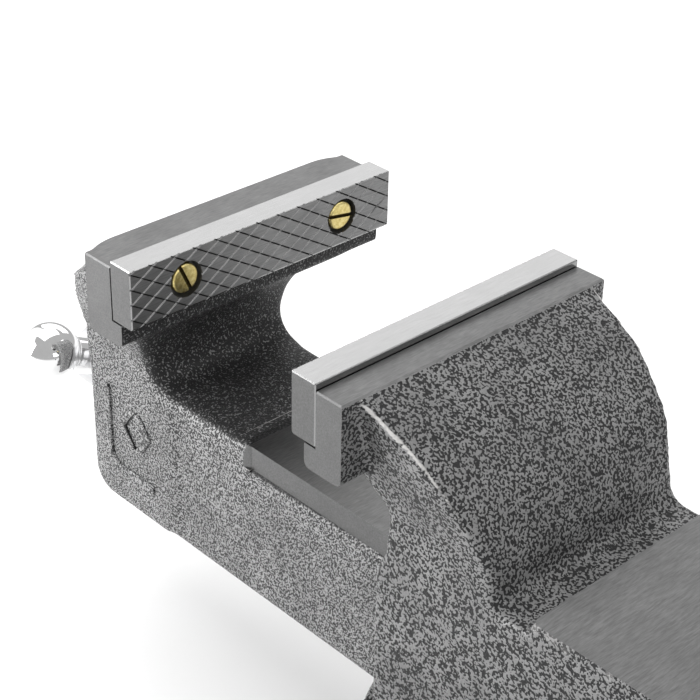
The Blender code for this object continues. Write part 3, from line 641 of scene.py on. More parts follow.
def wear_and_highlight_group():
    """Where edges wear, and along the fixed jaw's ridges a painted highlight: the piece's own edge value,
    broken up by a noise.
    """
    group, given, result = new_group(
        "wear_and_highlight_edges",
        [("Vector", "Vector", None), ("Edge", "Float", 0.0), ("Start", "Float", 0.1), ("End", "Float", 0.3)],
        [("WearAndHighlight", "Float", None)],
    )
    noise = add(
        group, "ShaderNodeTexNoise", (-600, -200), None, Vector=given.outputs[0], Scale=260.0, Detail=3.0
    )
    broken = add(
        group, "ShaderNodeMath", (-400, 0), {"operation": "MULTIPLY_ADD"},
        _0=noise.outputs[0], _1=2 * WEAR_AND_HIGHLIGHT_UNEVENNESS, _2=given.outputs[1],
    )
    lowered = add(
        group, "ShaderNodeMath", (-200, 0), {"operation": "SUBTRACT"},
        _0=broken.outputs[0], _1=WEAR_AND_HIGHLIGHT_UNEVENNESS,
    )
    wear_and_highlight = add(
        group, "ShaderNodeMapRange", (0, 0), {"interpolation_type": "SMOOTHSTEP"},
        _0=lowered.outputs[0], _1=given.outputs[2], _2=given.outputs[3],
    )
    group.links.new(wear_and_highlight.outputs[0], result.inputs[0])
    return group


def shared_group(name):
    """One of the shared node groups, made the first time it is asked for."""
    makers = {
        "hammered_enamel": hammered_group,
        "machining_marks": machining_group,
        "wear_and_highlight_edges": wear_and_highlight_group,
    }
    return bpy.data.node_groups.get(name) or makers[name]()


def group_node(tree, name, place, **inputs):
    """A shared group as a node in a material."""
    return add(tree, "ShaderNodeGroup", place, {"node_tree": shared_group(name)}, **inputs)


def new_material(name, **constants):
    """A material with only a Principled shader, whose constant inputs are set by name."""
    material = bpy.data.materials.new(name)
    material.use_nodes = True
    tree = material.node_tree
    shader = tree.nodes["Principled BSDF"]
    for label, value in constants.items():
        shader.inputs[label.replace("_", " ")].default_value = value
    place = add(tree, "ShaderNodeTexCoord", (-1500, 0)).outputs["Object"]
    return material, tree, shader, place


def blend_colours(tree, place, share, first, second):
    """The colour part way from the first to the second."""
    mix = add(tree, "ShaderNodeMix", place, {"data_type": "RGBA"}, _0=share)
    for socket, colour in ((mix.inputs[6], first), (mix.inputs[7], second)):
        if isinstance(colour, bpy.types.NodeSocket):
            tree.links.new(colour, socket)
        else:
            socket.default_value = (*colour, 1)
    return mix.outputs[2]


def spread(tree, place, value, low, high, start=0.3, end=0.7):
    """The value carried from start..end to low..high."""
    made = add(tree, "ShaderNodeMapRange", place, None, _0=value, _1=start, _2=end, _3=low, _4=high)
    return made.outputs[0]


def bump(tree, place, height, distance, strength=1.0):
    made = add(tree, "ShaderNodeBump", place, None, Height=height, Distance=distance, Strength=strength)
    return made.outputs[0]


def enamel(name, blob, softness, dark, light):
    """Hammered enamel on cast iron: light blobs, painted shade in creases, and edge wear that on the fixed
    jaw's ridges also carries a painted highlight.

    Where the piece's painted-shade value is high, the blobs thin out and the colour is darkened: painted
    shade.
    """
    material, tree, shader, place = new_material(
        name, Coat_Weight=0.05, Coat_Roughness=0.25, Specular_IOR_Level=0.2
    )
    edge = add(tree, "ShaderNodeAttribute", (-1500, -300), {"attribute_name": "edge"}).outputs["Fac"]
    painted_shade = add(tree, "ShaderNodeAttribute", (-1500, 300), {"attribute_name": "painted_shade"}).outputs["Fac"]
    # Painted shade: the blobs thin out where the painted-shade value is high.
    middle = spread(tree, (-1350, 300), painted_shade, 0.508, 0.66, 0, 1)
    hammered = group_node(
        tree, "hammered_enamel", (-1200, 200), Vector=place, Blob_Size=blob, Softness=softness, Middle=middle
    )
    wear_and_highlight = group_node(tree, "wear_and_highlight_edges", (-1200, -300), Vector=place, Edge=edge)
    two_tone = blend_colours(tree, (-900, 200), hammered.outputs["Blobs"], dark, light)
    drift = spread(tree, (-900, 450), hammered.outputs["Drift"], 0.0, 0.3)
    clouded = blend_colours(tree, (-700, 250), drift, two_tone, dark)
    # Painted shade in concave creases and in the throat: the colour is pulled towards a darker tone.
    crease_shade = spread(tree, (-900, -100), edge, 0.9, 0.0, -0.3, -0.06)
    shade_level = spread(tree, (-900, -250), painted_shade, 0, 0.3, 0, 1)
    shade_share = add(tree, "ShaderNodeMath", (-700, -50), {"operation": "MAXIMUM"}, _0=crease_shade, _1=shade_level)
    shaded_colour = blend_colours(tree, (-500, 250), shade_share.outputs[0], clouded, tuple(0.3 * c for c in dark))
    # Edge wear lightens the enamel, and along the fixed jaw's ridges it adds a painted highlight.
    rubbed_and_highlit = blend_colours(tree, (-300, 200), wear_and_highlight.outputs["WearAndHighlight"], shaded_colour, WORN_PAINT_AND_HIGHLIGHT)
    tree.links.new(rubbed_and_highlit, shader.inputs["Base Color"])
    rough = spread(tree, (-650, -150), hammered.outputs["Blobs"], 0.5, 0.36, 0, 1)
    tree.links.new(rough, shader.inputs["Roughness"])
    metal = spread(tree, (-650, -300), hammered.outputs["Blobs"], 0.0, 0.2, 0, 1)
    tree.links.new(metal, shader.inputs["Metallic"])
    tree.links.new(bump(tree, (-400, -300), hammered.outputs["Height"], 0.3 * MM), shader.inputs["Normal"])
    return material


def machined(name, dark, light, rough, across, along, depth):
    """Bare machined metal: tool marks in tone and height, and stains in its gloss."""
    material, tree, shader, place = new_material(name, Metallic=1.0)
    marks = group_node(tree, "machining_marks", (-1200, 100), Vector=place, Across=across, Along=along)
    line = spread(tree, (-1050, 400), marks.outputs["Marks"], 0, 1)
    lined = blend_colours(tree, (-900, 200), line, dark, light)
    stain = spread(tree, (-850, -100), marks.outputs["Stains"], 0, 0.35)
    stained = blend_colours(tree, (-600, 200), stain, lined, dark)
    tree.links.new(stained, shader.inputs["Base Color"])
    tree.links.new(spread(tree, (-600, -100), marks.outputs["Stains"], *rough), shader.inputs["Roughness"])
    tree.links.new(bump(tree, (-400, -300), marks.outputs["Marks"], depth * MM), shader.inputs["Normal"])
    return material


def moulded_black(name):
    """Moulded black plastic with a fine grain."""
    material, tree, shader, place = new_material(name, Coat_Weight=0.2)
    marks = group_node(tree, "machining_marks", (-1200, 100), Vector=place, Across=900.0, Along=900.0)
    dark, light = (0.012, 0.012, 0.013), (0.03, 0.03, 0.032)
    tone = blend_colours(tree, (-900, 200), marks.outputs["Stains"], dark, light)
    tree.links.new(tone, shader.inputs["Base Color"])
    tree.links.new(spread(tree, (-600, -100), marks.outputs["Stains"], 0.3, 0.45), shader.inputs["Roughness"])
    tree.links.new(bump(tree, (-400, -300), marks.outputs["Marks"], 0.02 * MM), shader.inputs["Normal"])
    return material


def enamel_for(name):
    """The enamel of one casting. The moving jaw's has finer, softer and lighter blobs."""
    paint = bpy.context.scene.vise.paint
    dark, light = tuple(paint.dark), tuple(paint.light)
    if name == "moving_enamel":
        dark, light = tuple(1.4 * c for c in dark), tuple(1.3 * c for c in light)
        return enamel(name, paint.fine_blob, 0.05, dark, light)
    return enamel(name, paint.blob, 0.035, dark, light)


def material_for(name):
    """One of the vise's finishes, made the first time it is asked for."""
    if name in bpy.data.materials:
        return bpy.data.materials[name]
    if name in MACHINED_FINISHES:
        return machined(name, *MACHINED_FINISHES[name])
    if name == "black_plastic":
        return moulded_black(name)
    return enamel_for(name)


# ---- Castings ------------------------------------------------------------------------------------


def blank(name, side, widths, material):
    """The part of a side outline that lies inside an outline of widths."""
    body = solid(name, extruded(rounded(side), "XZ", -JAW_HALF - STOCK, JAW_HALF + STOCK), material)
    across = solid("widths", extruded(mirrored(widths), "YZ", -260, 100), material)
    return combine(body, "INTERSECT", across)


def add_stock(body, material, **shapes):
    """Joins rough blocks to a blank."""
    for name, shape in shapes.items():
        combine(body, "UNION", solid(name, shape, material))


def machine(body, material, **shapes):
    """Cuts a casting; the faces that a cut leaves take the material."""
    for name, shape in shapes.items():
        combine(body, "DIFFERENCE", solid(name, shape, material))


def jaw_head_stock(face, back, direction):
    """The rough block of a jaw's head, before its seat, top and ends are cut."""
    ledge = face - direction * LEDGE_BACK
    low, high = sorted((ledge, back))
    return block((low, -JAW_HALF - STOCK, HEAD_BOTTOM), (high, JAW_HALF + STOCK, HEAD_TOP + STOCK))


def edge_break(start, end, half=0.45):
    """A diamond rod along a level edge, in millimetres, which leaves a small chamfer."""
    starts, ends = np.array([start]) * MM, np.array([end]) * MM
    run = unit(ends - starts)[0]
    side = np.array([0.0, 0.0, 1.0])
    return diamond_rods(starts, ends, side, np.cross(run, side), half * MM, half * MM)


def cut_jaw_head(body, iron, face, back, direction):
    """Cuts a head's top, ends, plate seat and screw holes, and breaks its long edges."""
    seat = face - direction * PLATE_BACK
    outside = seat + direction * 14
    seat_low, seat_high = sorted((seat, outside))
    top_low, top_high = sorted((back - direction * 8, outside))
    far = JAW_HALF + 10
    machine(
        body, iron,
        head_top=block((top_low, -far, HEAD_TOP), (top_high, far, HEAD_TOP + 9)),
        plate_seat=block((seat_low, -far, SEAT_BOTTOM), (seat_high, far, HEAD_TOP + 9)),
        right_end=block((-230, -far, 120), (20, -JAW_HALF, HEAD_TOP + 9)),
        left_end=block((-230, JAW_HALF, 120), (20, far, HEAD_TOP + 9)),
    )
    for side, sign in SIDES:
        y = sign * SCREW_OFFSET
        hole = cylinder((seat + direction * 2, y, SCREW_Z), (seat - direction * 9.7, y, SCREW_Z), 2.8, 32)
        machine(body, iron, **{f"screw_hole_{side}": hole})
        edge = sign * JAW_HALF
        rod = edge_break((back - direction * 2, edge, HEAD_TOP), (seat, edge, HEAD_TOP))
        machine(body, iron, **{f"end_edge_{side}": rod})
    if direction < 0:
        rod = edge_break((back, -far, HEAD_TOP), (back, far, HEAD_TOP), 0.6)
        machine(body, iron, back_edge=rod)


def raised_marks():
    """The L-shaped rib and the lozenge that stand out of the moving jaw's near side."""
    bend = [
        (-179, 90, 1.6), (-179, 58, 9), (-154, 58, 0), (-154, 61, 0), (-175.6, 61, 5.5), (-175.6, 90, 1.6),
    ]
    marks = {"rib": rounded(bend)}
    arms = [(0, 0), (5, 7), (8.2, 7), (3.2, 0), (8.2, -7), (5, -7)]
    for name, tip, sign in (("lozenge_front", -171, 1), ("lozenge_back", -154.8, -1)):
        marks[name] = np.array([(tip + sign * u, 78 + v) for u, v in arms][::sign])
    return {name: extruded(outline, "XZ", -28.6, -26.5, 0.3) for name, outline in marks.items()}


class VISE_OT_moving_jaw(bpy.types.Operator):
    """Casts and machines the moving jaw with its slide"""

    bl_idname = "vise.moving_jaw"
    bl_label = "Moving Jaw"

    @staticmethod
    def machine_slide_sides(body, paint, iron):
        """Cuts a flat strip along each side of the slide, with a painted slope below it and a run-out."""
        for side, sign in SIDES:
            slope = np.array([(25.7, 91.5), (26.9, 90.3), (40, 90.3), (40, 91.5)]) * (sign, 1)
            machine(body, paint, **{f"slope_{side}": extruded(slope, "YZ", -107.4, 60)})
            low, high = sorted((sign * 25.8, sign * 40))
            run_out = np.array([(-110.5, 26.9), (-107.3, 25.8), (-107.3, 40), (-110.5, 40)]) * (1, sign)
            machine(
                body, iron,
                **{
                    f"strip_{side}": block((-107.4, low, 91.4), (60, high, 106)),
                    f"run_out_{side}": extruded(run_out, "XY", 91.4, 106),
                },
            )

    @staticmethod
    def throat_shade(points, normals):
        """Painted shade: 1 on the faces of the throat under the jaw's head, where the enamel is darkened, and
        0 elsewhere.
        """
        x, _, z = points.T / MM
        floor = fade(normals[:, 2], 0.5, 0.8) * fade(x, -156, -150)
        facing_out = np.maximum(fade(normals[:, 0], 0.15, 0.5), floor)
        underneath = fade(-normals[:, 2], 0.3, 0.7)
        inside = fade(x, -162, -154) * fade(-x, 106, 110) * fade(z, 94, 98) * fade(-z, -138.5, -137.5)
        return inside * np.maximum(facing_out, underneath)

    @staticmethod
    def never_rubbed(points):
        """The raised marks, and the line where the throat's floor meets the slide's top."""
        x, y, z = points.T / MM
        return (y < -27.95) | ((x > -112) & (x < -109.5) & (z > 98))

    def execute(self, context):
        settings = context.scene.vise.casting
        paint, iron = material_for("moving_enamel"), material_for("machined_iron")
        body = blank("moving_jaw_casting", MOVING_SIDE, MOVING_WIDTHS, paint)
        rail = [(-154, 45.5), (50, 45.5), (50, 101.5), (-108.5, 101.5), (-109.1, 98.9), (-154, 98.9)]
        add_stock(
            body, paint,
            head=jaw_head_stock(-130.0, -151.4, 1),
            rail=extruded(np.array(rail), "XZ", -26.8, 26.8),
            boss=cylinder((-192, 0, SPINDLE_Z), (-180, 0, SPINDLE_Z), 18),
        )
        cast(body, settings.grain)
        even_out(body, settings.rounding)
        x, y, z = points_of(body.data).T / MM
        throat = fade(x, -166, -158) * fade(-x, 108, 116) * fade(z, 92, 98) * fade(-z, -132, -126)
        even_out(body, settings.throat_rounding, 0.5 * throat * fade(abs(y), 12, 18))
        shoulder = fade(z, 136, 144) * fade(-x, 145, 149) * fade(abs(y), 36, 42) * fade(-abs(y), -48, -44)
        even_out(body, settings.throat_rounding, 0.5 * shoulder)
        add_stock(body, paint, **raised_marks())
        cut_jaw_head(body, iron, -130.0, -151.4, 1)
        machine(
            body, iron,
            slide_top=block((-108.5, -40, 99.5), (60, 40, 106)),
            slide_end=block((48, -40, 40), (60, 40, 106)),
            boss_face=block((-200, -30, 45), (-190.5, 30, 100)),
            spindle_bore=cylinder((-196, 0, SPINDLE_Z), (-140, 0, SPINDLE_Z), SPINDLE_BORE),
        )
        self.machine_slide_sides(body, paint, iron)
        machine(
            body, paint,
            channel=block((-148, -17, 40), (60, 17, 90.5)),
            throat_end=block((-115, -24, 98.9), (-108.5, 24, 104)),
            throat_lip=block((-111, -40, 99.5), (-108.5, 40, 106)),
        )
        # The throat under the head gets painted shade; edges get wear.
        mark_edges(body, self.throat_shade, self.never_rubbed)
        finish_piece(body, "moving_jaw", "cast_paint", "front_body")
        return {"FINISHED"}


class VISE_OT_fixed_jaw(bpy.types.Operator):
    """Casts and machines the fixed jaw, with its anvil, tunnel and swivel flange"""

    bl_idname = "vise.fixed_jaw"
    bl_label = "Fixed Jaw"

    @staticmethod
    def ridges(points):
        """How near a point is to the lines where the hood's back meets its sides, which carry edge wear and a
        painted highlight.

        The depths below the hood's back and inside its sides are both small there: the value falls
        to 0 as the deeper of the two goes from 0.5 to 1.3 mm. It starts at 0.5, and at 0.12 further down.
        """
        x, y, z = points.T / MM
        back = rounded(FIXED_SIDE)
        back = back[(back[:, 0] < 0.5) & (back[:, 1] > 108) & (back[:, 0] + 0.8 * back[:, 1] > 80)]
        back = back[np.argsort(back[:, 0])]
        side = mirrored(FIXED_WIDTHS)
        side = side[side[:, 0] > 0]
        side = side[np.argsort(side[:, 1])]
        below = np.interp(x, back[:, 0], back[:, 1]) - z
        within = np.interp(z, side[:, 1], side[:, 0]) - abs(y)
        near = 1 - fade(np.maximum(below, within), 0.5, 1.3)
        return near * fade(x, -42, -40) * (0.12 + 0.38 * fade(z, 130, 144))

    def execute(self, context):
        settings = context.scene.vise.casting
        paint, iron = material_for("fixed_enamel"), material_for("machined_iron")
        body = blank("fixed_jaw_casting", FIXED_SIDE, FIXED_WIDTHS, paint)
        add_stock(
            body, paint,
            head=jaw_head_stock(-61.5, -42.2, -1),
            flange=cylinder((0, 0, 28.4), (0, 0, 42.4), 60, 128),
        )
        cast(body, FIXED_GRAIN * settings.grain)
        even_out(body, BUMP_ROUNDS, 0.5, SWELL)
        even_out(body, FIXED_ROUNDS)
        cut_jaw_head(body, iron, -61.5, -42.2, -1)
        tunnel = [
            (-27.3, 45.1), (27.3, 45.1), (27.3, 91.5), (26.2, 91.5),
            (26.2, 99.9), (-26.2, 99.9), (-26.2, 91.5), (-27.3, 91.5),
        ]
        low, high = (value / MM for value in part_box("lead_nut"))
        machine(
            body, iron,
            anvil_top=block((8, -60, 113), (80, 60, 120)),
            flange_face=block((-80, -80, 20), (80, 80, FLANGE_BOTTOM)),
            tunnel=extruded(np.array(tunnel), "YZ", -60, 80),
            tunnel_mouth=block((-60, -27.3, 91), (-37.6, 27.3, 99.9)),
            nut_pocket=block((low.x - 0.3, low.y - 0.3, low.z - 0.3), (high.x + 0.3, high.y + 0.3, 48)),
            spigot_sink=cylinder((0, 0, 25), (0, 0, 38.3), 24.3),
            nut_bolt_hole=cylinder((-3, 0, 36), (-3, 0, 46), 4.4, 32),
        )
        for side, sign in SIDES:
            hole = cylinder((0, sign * SLOT_RADIUS, 25), (0, sign * SLOT_RADIUS, 46), 4.3, 32)
            machine(body, iron, **{f"clamp_hole_{side}": hole})
        # The ridges get edge wear and a painted highlight.
        mark_edges(body, rubbed_and_highlit=self.ridges)
        finish_piece(body, "vise_body", "cast_paint", "rear_body")
        return {"FINISHED"}


class VISE_OT_swivel_base(bpy.types.Operator):
    """Casts and machines the swivel base with its four bolt lugs"""

    bl_idname = "vise.swivel_base"
    bl_label = "Swivel Base"

    def execute(self, context):
        settings = context.scene.vise.casting
        paint, iron = material_for("base_enamel"), material_for("machined_iron")
        body = solid("swivel_base_casting", cylinder((0, 0, -1.5), (0, 0, 31.5), 62, 160), paint)
        add_stock(body, paint, spigot=cylinder((0, 0, 20), (0, 0, 39.5), 25.5))
        for number in range(4):
            turn = Matrix.Rotation(math.radians(45 + 90 * number), 4, "Z")
            web = np.array([(54, -26), (79, -9.8), (79, 9.8), (54, 26)])
            centre = turn @ Vector((72, 0, 0))
            points, faces = extruded(web, "XY", -1.5, 12)
            lug = cylinder((centre.x, centre.y, -1.5), (centre.x, centre.y, 12.4), 12)
            add_stock(body, paint, **{f"web_{number}": (moved(points, turn), faces), f"lug_{number}": lug})
        cast(body, settings.grain)
        even_out(body, settings.rounding)
        flat = Matrix.Identity(4)
        neck = rectangle((SLOT_RADIUS - 4.4, 20), (SLOT_RADIUS + 4.4, 36))
        deep = rectangle((SLOT_RADIUS - 8.7, 12), (SLOT_RADIUS + 8.7, 22))
        top = [(24, BASE_TOP), (90, BASE_TOP), (90, 45), (23, 45), (23, 38), (24, 37)]
        machine(
            body, iron,
            underside=block((-90, -90, -6), (90, 90, 0)),
            top=turned(top, flat, 160, True),
            spigot_top=block((-30, -30, 38), (30, 30, 45)),
            slot_neck=turned(neck, flat, 128, True),
            slot_deep=turned(deep, flat, 128, True),
            cup=cylinder((0, 0, 10), (0, 0, 45), 17),
            bolt_entry=cylinder((SLOT_RADIUS, 0, -4), (SLOT_RADIUS, 0, 14), 11.5),
        )
        for number in range(4):
            centre = Matrix.Rotation(math.radians(45 + 90 * number), 4, "Z") @ Vector((72, 0, 0))
            x, y = centre.x, centre.y
            machine(
                body, iron,
                **{
                    f"spot_face_{number}": cylinder((x, y, 11.7), (x, y, 20), 9),
                    f"lug_hole_{number}": cylinder((x, y, -4), (x, y, 20), 5.25, 48),
                },
            )
        mark_edges(body)
        finish_piece(body, "base", "cast_paint", "swivel_base")
        return {"FINISHED"}


# ---- Jaw plates and their screws -----------------------------------------------------------------


def groove_rods(face, low, high, plate, family):
    """Rods of diamond section along one family of grooves, with their middle lines in the plate's face.

    A groove of the family is z = slope (y - offset - k pitch), with z from the plate's top and y from
    its near end, so equal steps of k along the jaw give the pitch.
    """
    rise = family * math.tan(plate.slope)
    first = 9.7 * MM if family > 0 else -1.3 * MM - 9.7 * MM / math.tan(plate.slope)
    height = high.z - low.z
    numbers = np.arange(-6, 20)
    start_y = low.y + first + numbers * plate.pitch - (1.5 * MM + height) / rise
    end_y = low.y + first + numbers * plate.pitch + 1.5 * MM / rise
    keep = (np.minimum(start_y, end_y) < high.y + 2 * MM) & (np.maximum(start_y, end_y) > low.y - 2 * MM)
    starts = np.stack([face + 0 * start_y, start_y, high.z - 1.5 * MM - height + 0 * start_y], 1)[keep]
    ends = np.stack([face + 0 * end_y, end_y, high.z + 1.5 * MM + 0 * end_y], 1)[keep]
    along = unit(ends - starts)[0]
    inwards = np.array([1.0, 0.0, 0.0])
    half_width = plate.width * (0.5 if family > 0 else 0.32)
    return diamond_rods(starts, ends, np.cross(along, inwards), inwards, half_width, plate.depth)


class VISE_OT_jaw_plates(bpy.types.Operator):
    """Makes the two serrated jaw plates"""

    bl_idname = "vise.jaw_plates"
    bl_label = "Jaw Plates"

    def execute(self, context):
        plate = context.scene.vise.plate
        steel = material_for("ground_steel")
        for name, direction, body in (("front", 1, "moving_jaw"), ("rear", -1, "vise_body")):
            low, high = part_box(f"{name}_jaw_plate")
            face, back = (high.x, low.x) if direction > 0 else (low.x, high.x)
            corners = [
                (face / MM, low.z / MM, 1.2), (face / MM, high.z / MM, 0.25),
                (back / MM, high.z / MM, 0.4), (back / MM, low.z / MM, 0.4),
            ]
            shape = extruded(rounded(corners, math.radians(15)), "XZ", low.y / MM, high.y / MM, 0.3)
            obj = solid(f"{name}_plate", shape, steel)
            serrated, sawn = material_for("serrated_steel"), material_for("sawn_steel")
            face_material(obj, serrated, lambda normals: normals[:, 0] * direction > 0.99)
            face_material(obj, sawn, lambda normals: abs(normals[:, 1]) > 0.99)
            # One groove family gets a painted highlight, the other painted shade.
            for family, finish in ((1, "groove_highlight_steel"), (-1, "groove_shade")):
                shape = groove_rods(face, low, high, plate, family)
                rods = solid(f"grooves_{finish}", shape, material_for(finish))
                combine(obj, "DIFFERENCE", rods)
            for side, sign in SIDES:
                centre = np.array((face / MM, sign * SCREW_OFFSET, SCREW_Z))
                out = np.array((direction, 0, 0))
                machine(
                    obj, serrated,
                    **{
                        f"recess_{side}": cylinder(centre + 2 * out, centre - 3.7 * out, 5.8),
                        f"hole_{side}": cylinder(centre, centre - 12 * out, 2.8, 48),
                    },
                )
            finish_piece(obj, body, "plate_steel", f"{name}_jaw_plate").data.shade_flat()
        return {"FINISHED"}


class VISE_OT_plate_screws(bpy.types.Operator):
    """Makes the four slotted brass screws of the jaw plates"""

    bl_idname = "vise.plate_screws"
    bl_label = "Plate Screws"

    SLOT_TURNS = {"front_right": 24, "front_left": 80, "rear_right": 75, "rear_left": -30}

    def execute(self, context):
        brass = material_for("brass")
        head = [(0, 0), (3.6, -0.02), (4.25, -0.14), (4.58, -0.42), (4.65, -0.7), (4.65, -3.0), (2.5, -3.0)]
        shank = [(2.5, -16.4), (1.9, -17.0), (0, -17.0)]
        for name, turn in self.SLOT_TURNS.items():
            jaw, side = name.split("_")
            direction = 1 if jaw == "front" else -1
            low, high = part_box(f"{jaw}_jaw_screw_{side}")
            face = high.x if direction > 0 else low.x
            place = Matrix.Translation((face, (low.y + high.y) / 2, (low.z + high.z) / 2))
            place @= Matrix.Rotation(direction * math.pi / 2, 4, "Y")
            obj = solid(f"plate_screw_{name}", turned(head + shank, place), brass)
            points, faces = block((-6, -0.6, -1.4), (6, 0.6, 1))
            slot = moved(points, place @ Matrix.Rotation(math.radians(turn), 4, "Z"))
            # The slot walls get dark brass as painted shade.
            combine(obj, "DIFFERENCE", solid("screw_slot", (slot, faces), material_for("brass_slot_shade")))
            body = "moving_jaw" if jaw == "front" else "vise_body"
            finish_piece(obj, body, "screw_brass", f"{jaw}_jaw_screw_{side}")
        return {"FINISHED"}


# ---- Lead screw, its nut and its rings -----------------------------------------------------------


def threaded_shank(start, end, crest, settings):
    """The shank of the lead screw as a grid of distance along it and angle round it.

    The radius is the crest less the thread's depth times a rounded trapezoid wave of
    (distance / lead - angle / turn), which fades out at both ends of the thread.
    """
    threaded = np.arange(start + 24, end - 1.5, 0.3)
    x = np.concatenate([[start, start + 20], threaded, [end - 1.5, end - 1.5, end]])
    angle = np.linspace(0, TURN, 72, endpoint=False)[:, None]
    wave = (x * MM / settings.lead - angle / TURN) % 1.0
    flank = np.clip(2.2 - 8.5 * abs(wave - 0.5), 0, 1)
    faded = fade(x, start + 24, start + 30)
    radius = crest - settings.depth / MM * flank * faded
    radius[:, -1] = crest - 3.2
    grid = np.stack([x - start + 0 * angle, radius * np.cos(angle), radius * np.sin(angle)], -1)
    grid[:, :, 0] += start
    caps = [list(range(0, 72 * len(x), len(x))), list(range(len(x) - 1, 72 * len(x), len(x)))[::-1]]
    points = grid.reshape(-1, 3) + (0, 0, SPINDLE_Z)
    return points * MM, grid_faces(72, len(x), True, False) + caps


def handle_line(distance):
    """A point on the handle's axis in millimetres, measured from the spindle towards +Y."""
    tilt = math.radians(-27.7)
    return Vector((-210, distance * math.cos(tilt), SPINDLE_Z + distance * math.sin(tilt)))


class VISE_OT_lead_screw(bpy.types.Operator):
    """Turns the lead screw with its thread, flange and cross hole"""

    bl_idname = "vise.lead_screw"
    bl_label = "Lead Screw"

    def execute(self, context):
        settings = context.scene.vise.screw
        steel = material_for("bright_steel")
        head = [
            (0, -223), (8.4, -223), (9.6, -222.6), (12.1, -220.3), (12.5, -219.4), (12.5, -199.6),
            (13.1, -198.6), (14.8, -198.6), (16, -197.4), (16, -194.2), (15.4, -193.6), (9.7, -193.6),
            (9.7, -150), (0, -150),
        ]
        obj = solid("lead_screw_turned", turned(head, on_spindle(0)), steel)
        shank = solid("shank", threaded_shank(-160, 46, 9.7, settings), material_for("oiled_steel"))
        combine(obj, "UNION", shank)
        hole = cylinder(handle_line(-22), handle_line(22), 6.65)
        pin = cylinder((-127.7, 0, SPINDLE_Z - 12), (-127.7, 0, SPINDLE_Z + 12), 2.3, 32)
        machine(obj, steel, handle_hole=hole, pin_hole=pin)
        finish_piece(obj, "spindle", "bright_steel", "lead_screw")
        return {"FINISHED"}


def ring_profile(inner, outer, low, high, edge):
    """The closed profile of a ring with chamfered edges."""
    return [
        (inner, low + edge), (inner, high - edge), (inner + edge, high), (outer - edge, high),
        (outer, high - edge), (outer, low + edge), (outer - edge, low), (inner + edge, low),
    ]


class VISE_OT_spindle_rings(bpy.types.Operator):
    """Makes the spring, washers, collar and pin that hold the lead screw"""

    bl_idname = "vise.spindle_rings"
    bl_label = "Spindle Rings"

    def execute(self, context):
        rings = (
            ("thrust_washer", SPINDLE_BORE, 0.4, "bright_steel"),
            ("spring_washer", SPINDLE_BORE, 0.3, "bright_steel"),
            ("retaining_collar", 10.0, 0.8, "bright_steel"),
        )
        for node, inner, edge, finish in rings:
            low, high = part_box(node)
            outer = (high.y - low.y) / 2 / MM
            profile = ring_profile(inner, outer, low.x / MM, high.x / MM, edge)
            obj = solid(f"{node}_turned", turned(profile, on_spindle(0), 96, True), material_for(finish))
            if node == "retaining_collar":
                x = (low.x + high.x) / 2 / MM
                hole = cylinder((x, 0, SPINDLE_Z - 18), (x, 0, SPINDLE_Z + 18), 2.3, 32)
                machine(obj, material_for(finish), pin_hole=hole)
            finish_piece(obj, "spindle", finish, node)

        low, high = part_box("collar_pin")
        half = (high.z - low.z) / 2 / MM
        profile = [(0, -half), (1.6, -half), (2, -half + 0.4), (2, half - 0.4), (1.6, half), (0, half)]
        place = Matrix.Translation((low + high) / 2)
        pin = solid("collar_pin_turned", turned(profile, place, 48), material_for("spring_steel"))
        finish_piece(pin, "spindle", "spring_steel", "collar_pin")

        low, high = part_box("spindle_spring")
        wire = 1.2 * MM
        turn = np.linspace(0, 3.5 * TURN, 220)
        x = np.linspace(low.x + wire, high.x - wire, len(turn))
        radius = 12.6 * MM
        path = np.stack([x, radius * np.cos(turn), SPINDLE_Z * MM + radius * np.sin(turn)], 1)
        spring = solid("coil_spring", tube(path, 0.97 * wire, 16, (1, 0, 0)), material_for("spring_steel"))
        finish_piece(spring, "spindle", "spring_steel", "spindle_spring")
        return {"FINISHED"}


class VISE_OT_lead_nut(bpy.types.Operator):
    """Makes the lead nut and the bolt and washer that hold it down"""

    bl_idname = "vise.lead_nut"
    bl_label = "Lead Nut"

    def execute(self, context):
        iron, steel = material_for("grey_iron"), material_for("zinc")
        low, high = (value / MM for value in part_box("lead_nut"))
        corners = [(low.y, low.z, 0.6), (high.y, low.z, 0.6), (high.y, high.z, 9), (low.y, high.z, 9)]
        nut = solid("lead_nut_block", extruded(rounded(corners), "YZ", low.x, high.x, 0.6), iron)
        middle = (low.x + high.x) / 2
        machine(
            nut, material_for("oiled_steel"),
            bore=cylinder((low.x - 3, 0, SPINDLE_Z), (high.x + 3, 0, SPINDLE_Z), SPINDLE_BORE),
            bolt_thread=cylinder((middle, 0, low.z - 2), (middle, 0, 59), 4.3, 32),
        )
        finish_piece(nut, "vise_body", "nut_iron", "lead_nut")

        low, high = (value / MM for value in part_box("nut_bolt_washer"))
        place = Matrix.Translation((middle * MM, 0, 0))
        profile = ring_profile(4.3, (high.x - low.x) / 2, low.z, high.z, 0.2)
        washer = solid("nut_bolt_washer_turned", turned(profile, place, 64, True), steel)
        finish_piece(washer, "vise_body", "zinc_steel", "nut_bolt_washer")

        low, high = (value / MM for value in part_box("nut_bolt"))
        head_top = low.z + 5.3
        angle = np.arange(6) * TURN / 6
        hexagon = np.stack([middle + 7.5 * np.sin(angle), 7.5 * np.cos(angle)], 1)
        bolt = solid("nut_bolt_head", extruded(hexagon, "XY", low.z, head_top, 0.5), steel)
        shank = [(0, head_top - 1), (4, head_top - 1), (4, high.z - 0.8), (3.2, high.z), (0, high.z)]
        combine(bolt, "UNION", solid("bolt_shank", turned(shank, place, 48), steel))
        finish_piece(bolt, "vise_body", "zinc_steel", "nut_bolt")
        return {"FINISHED"}


# ---- Handle and clamps ---------------------------------------------------------------------------


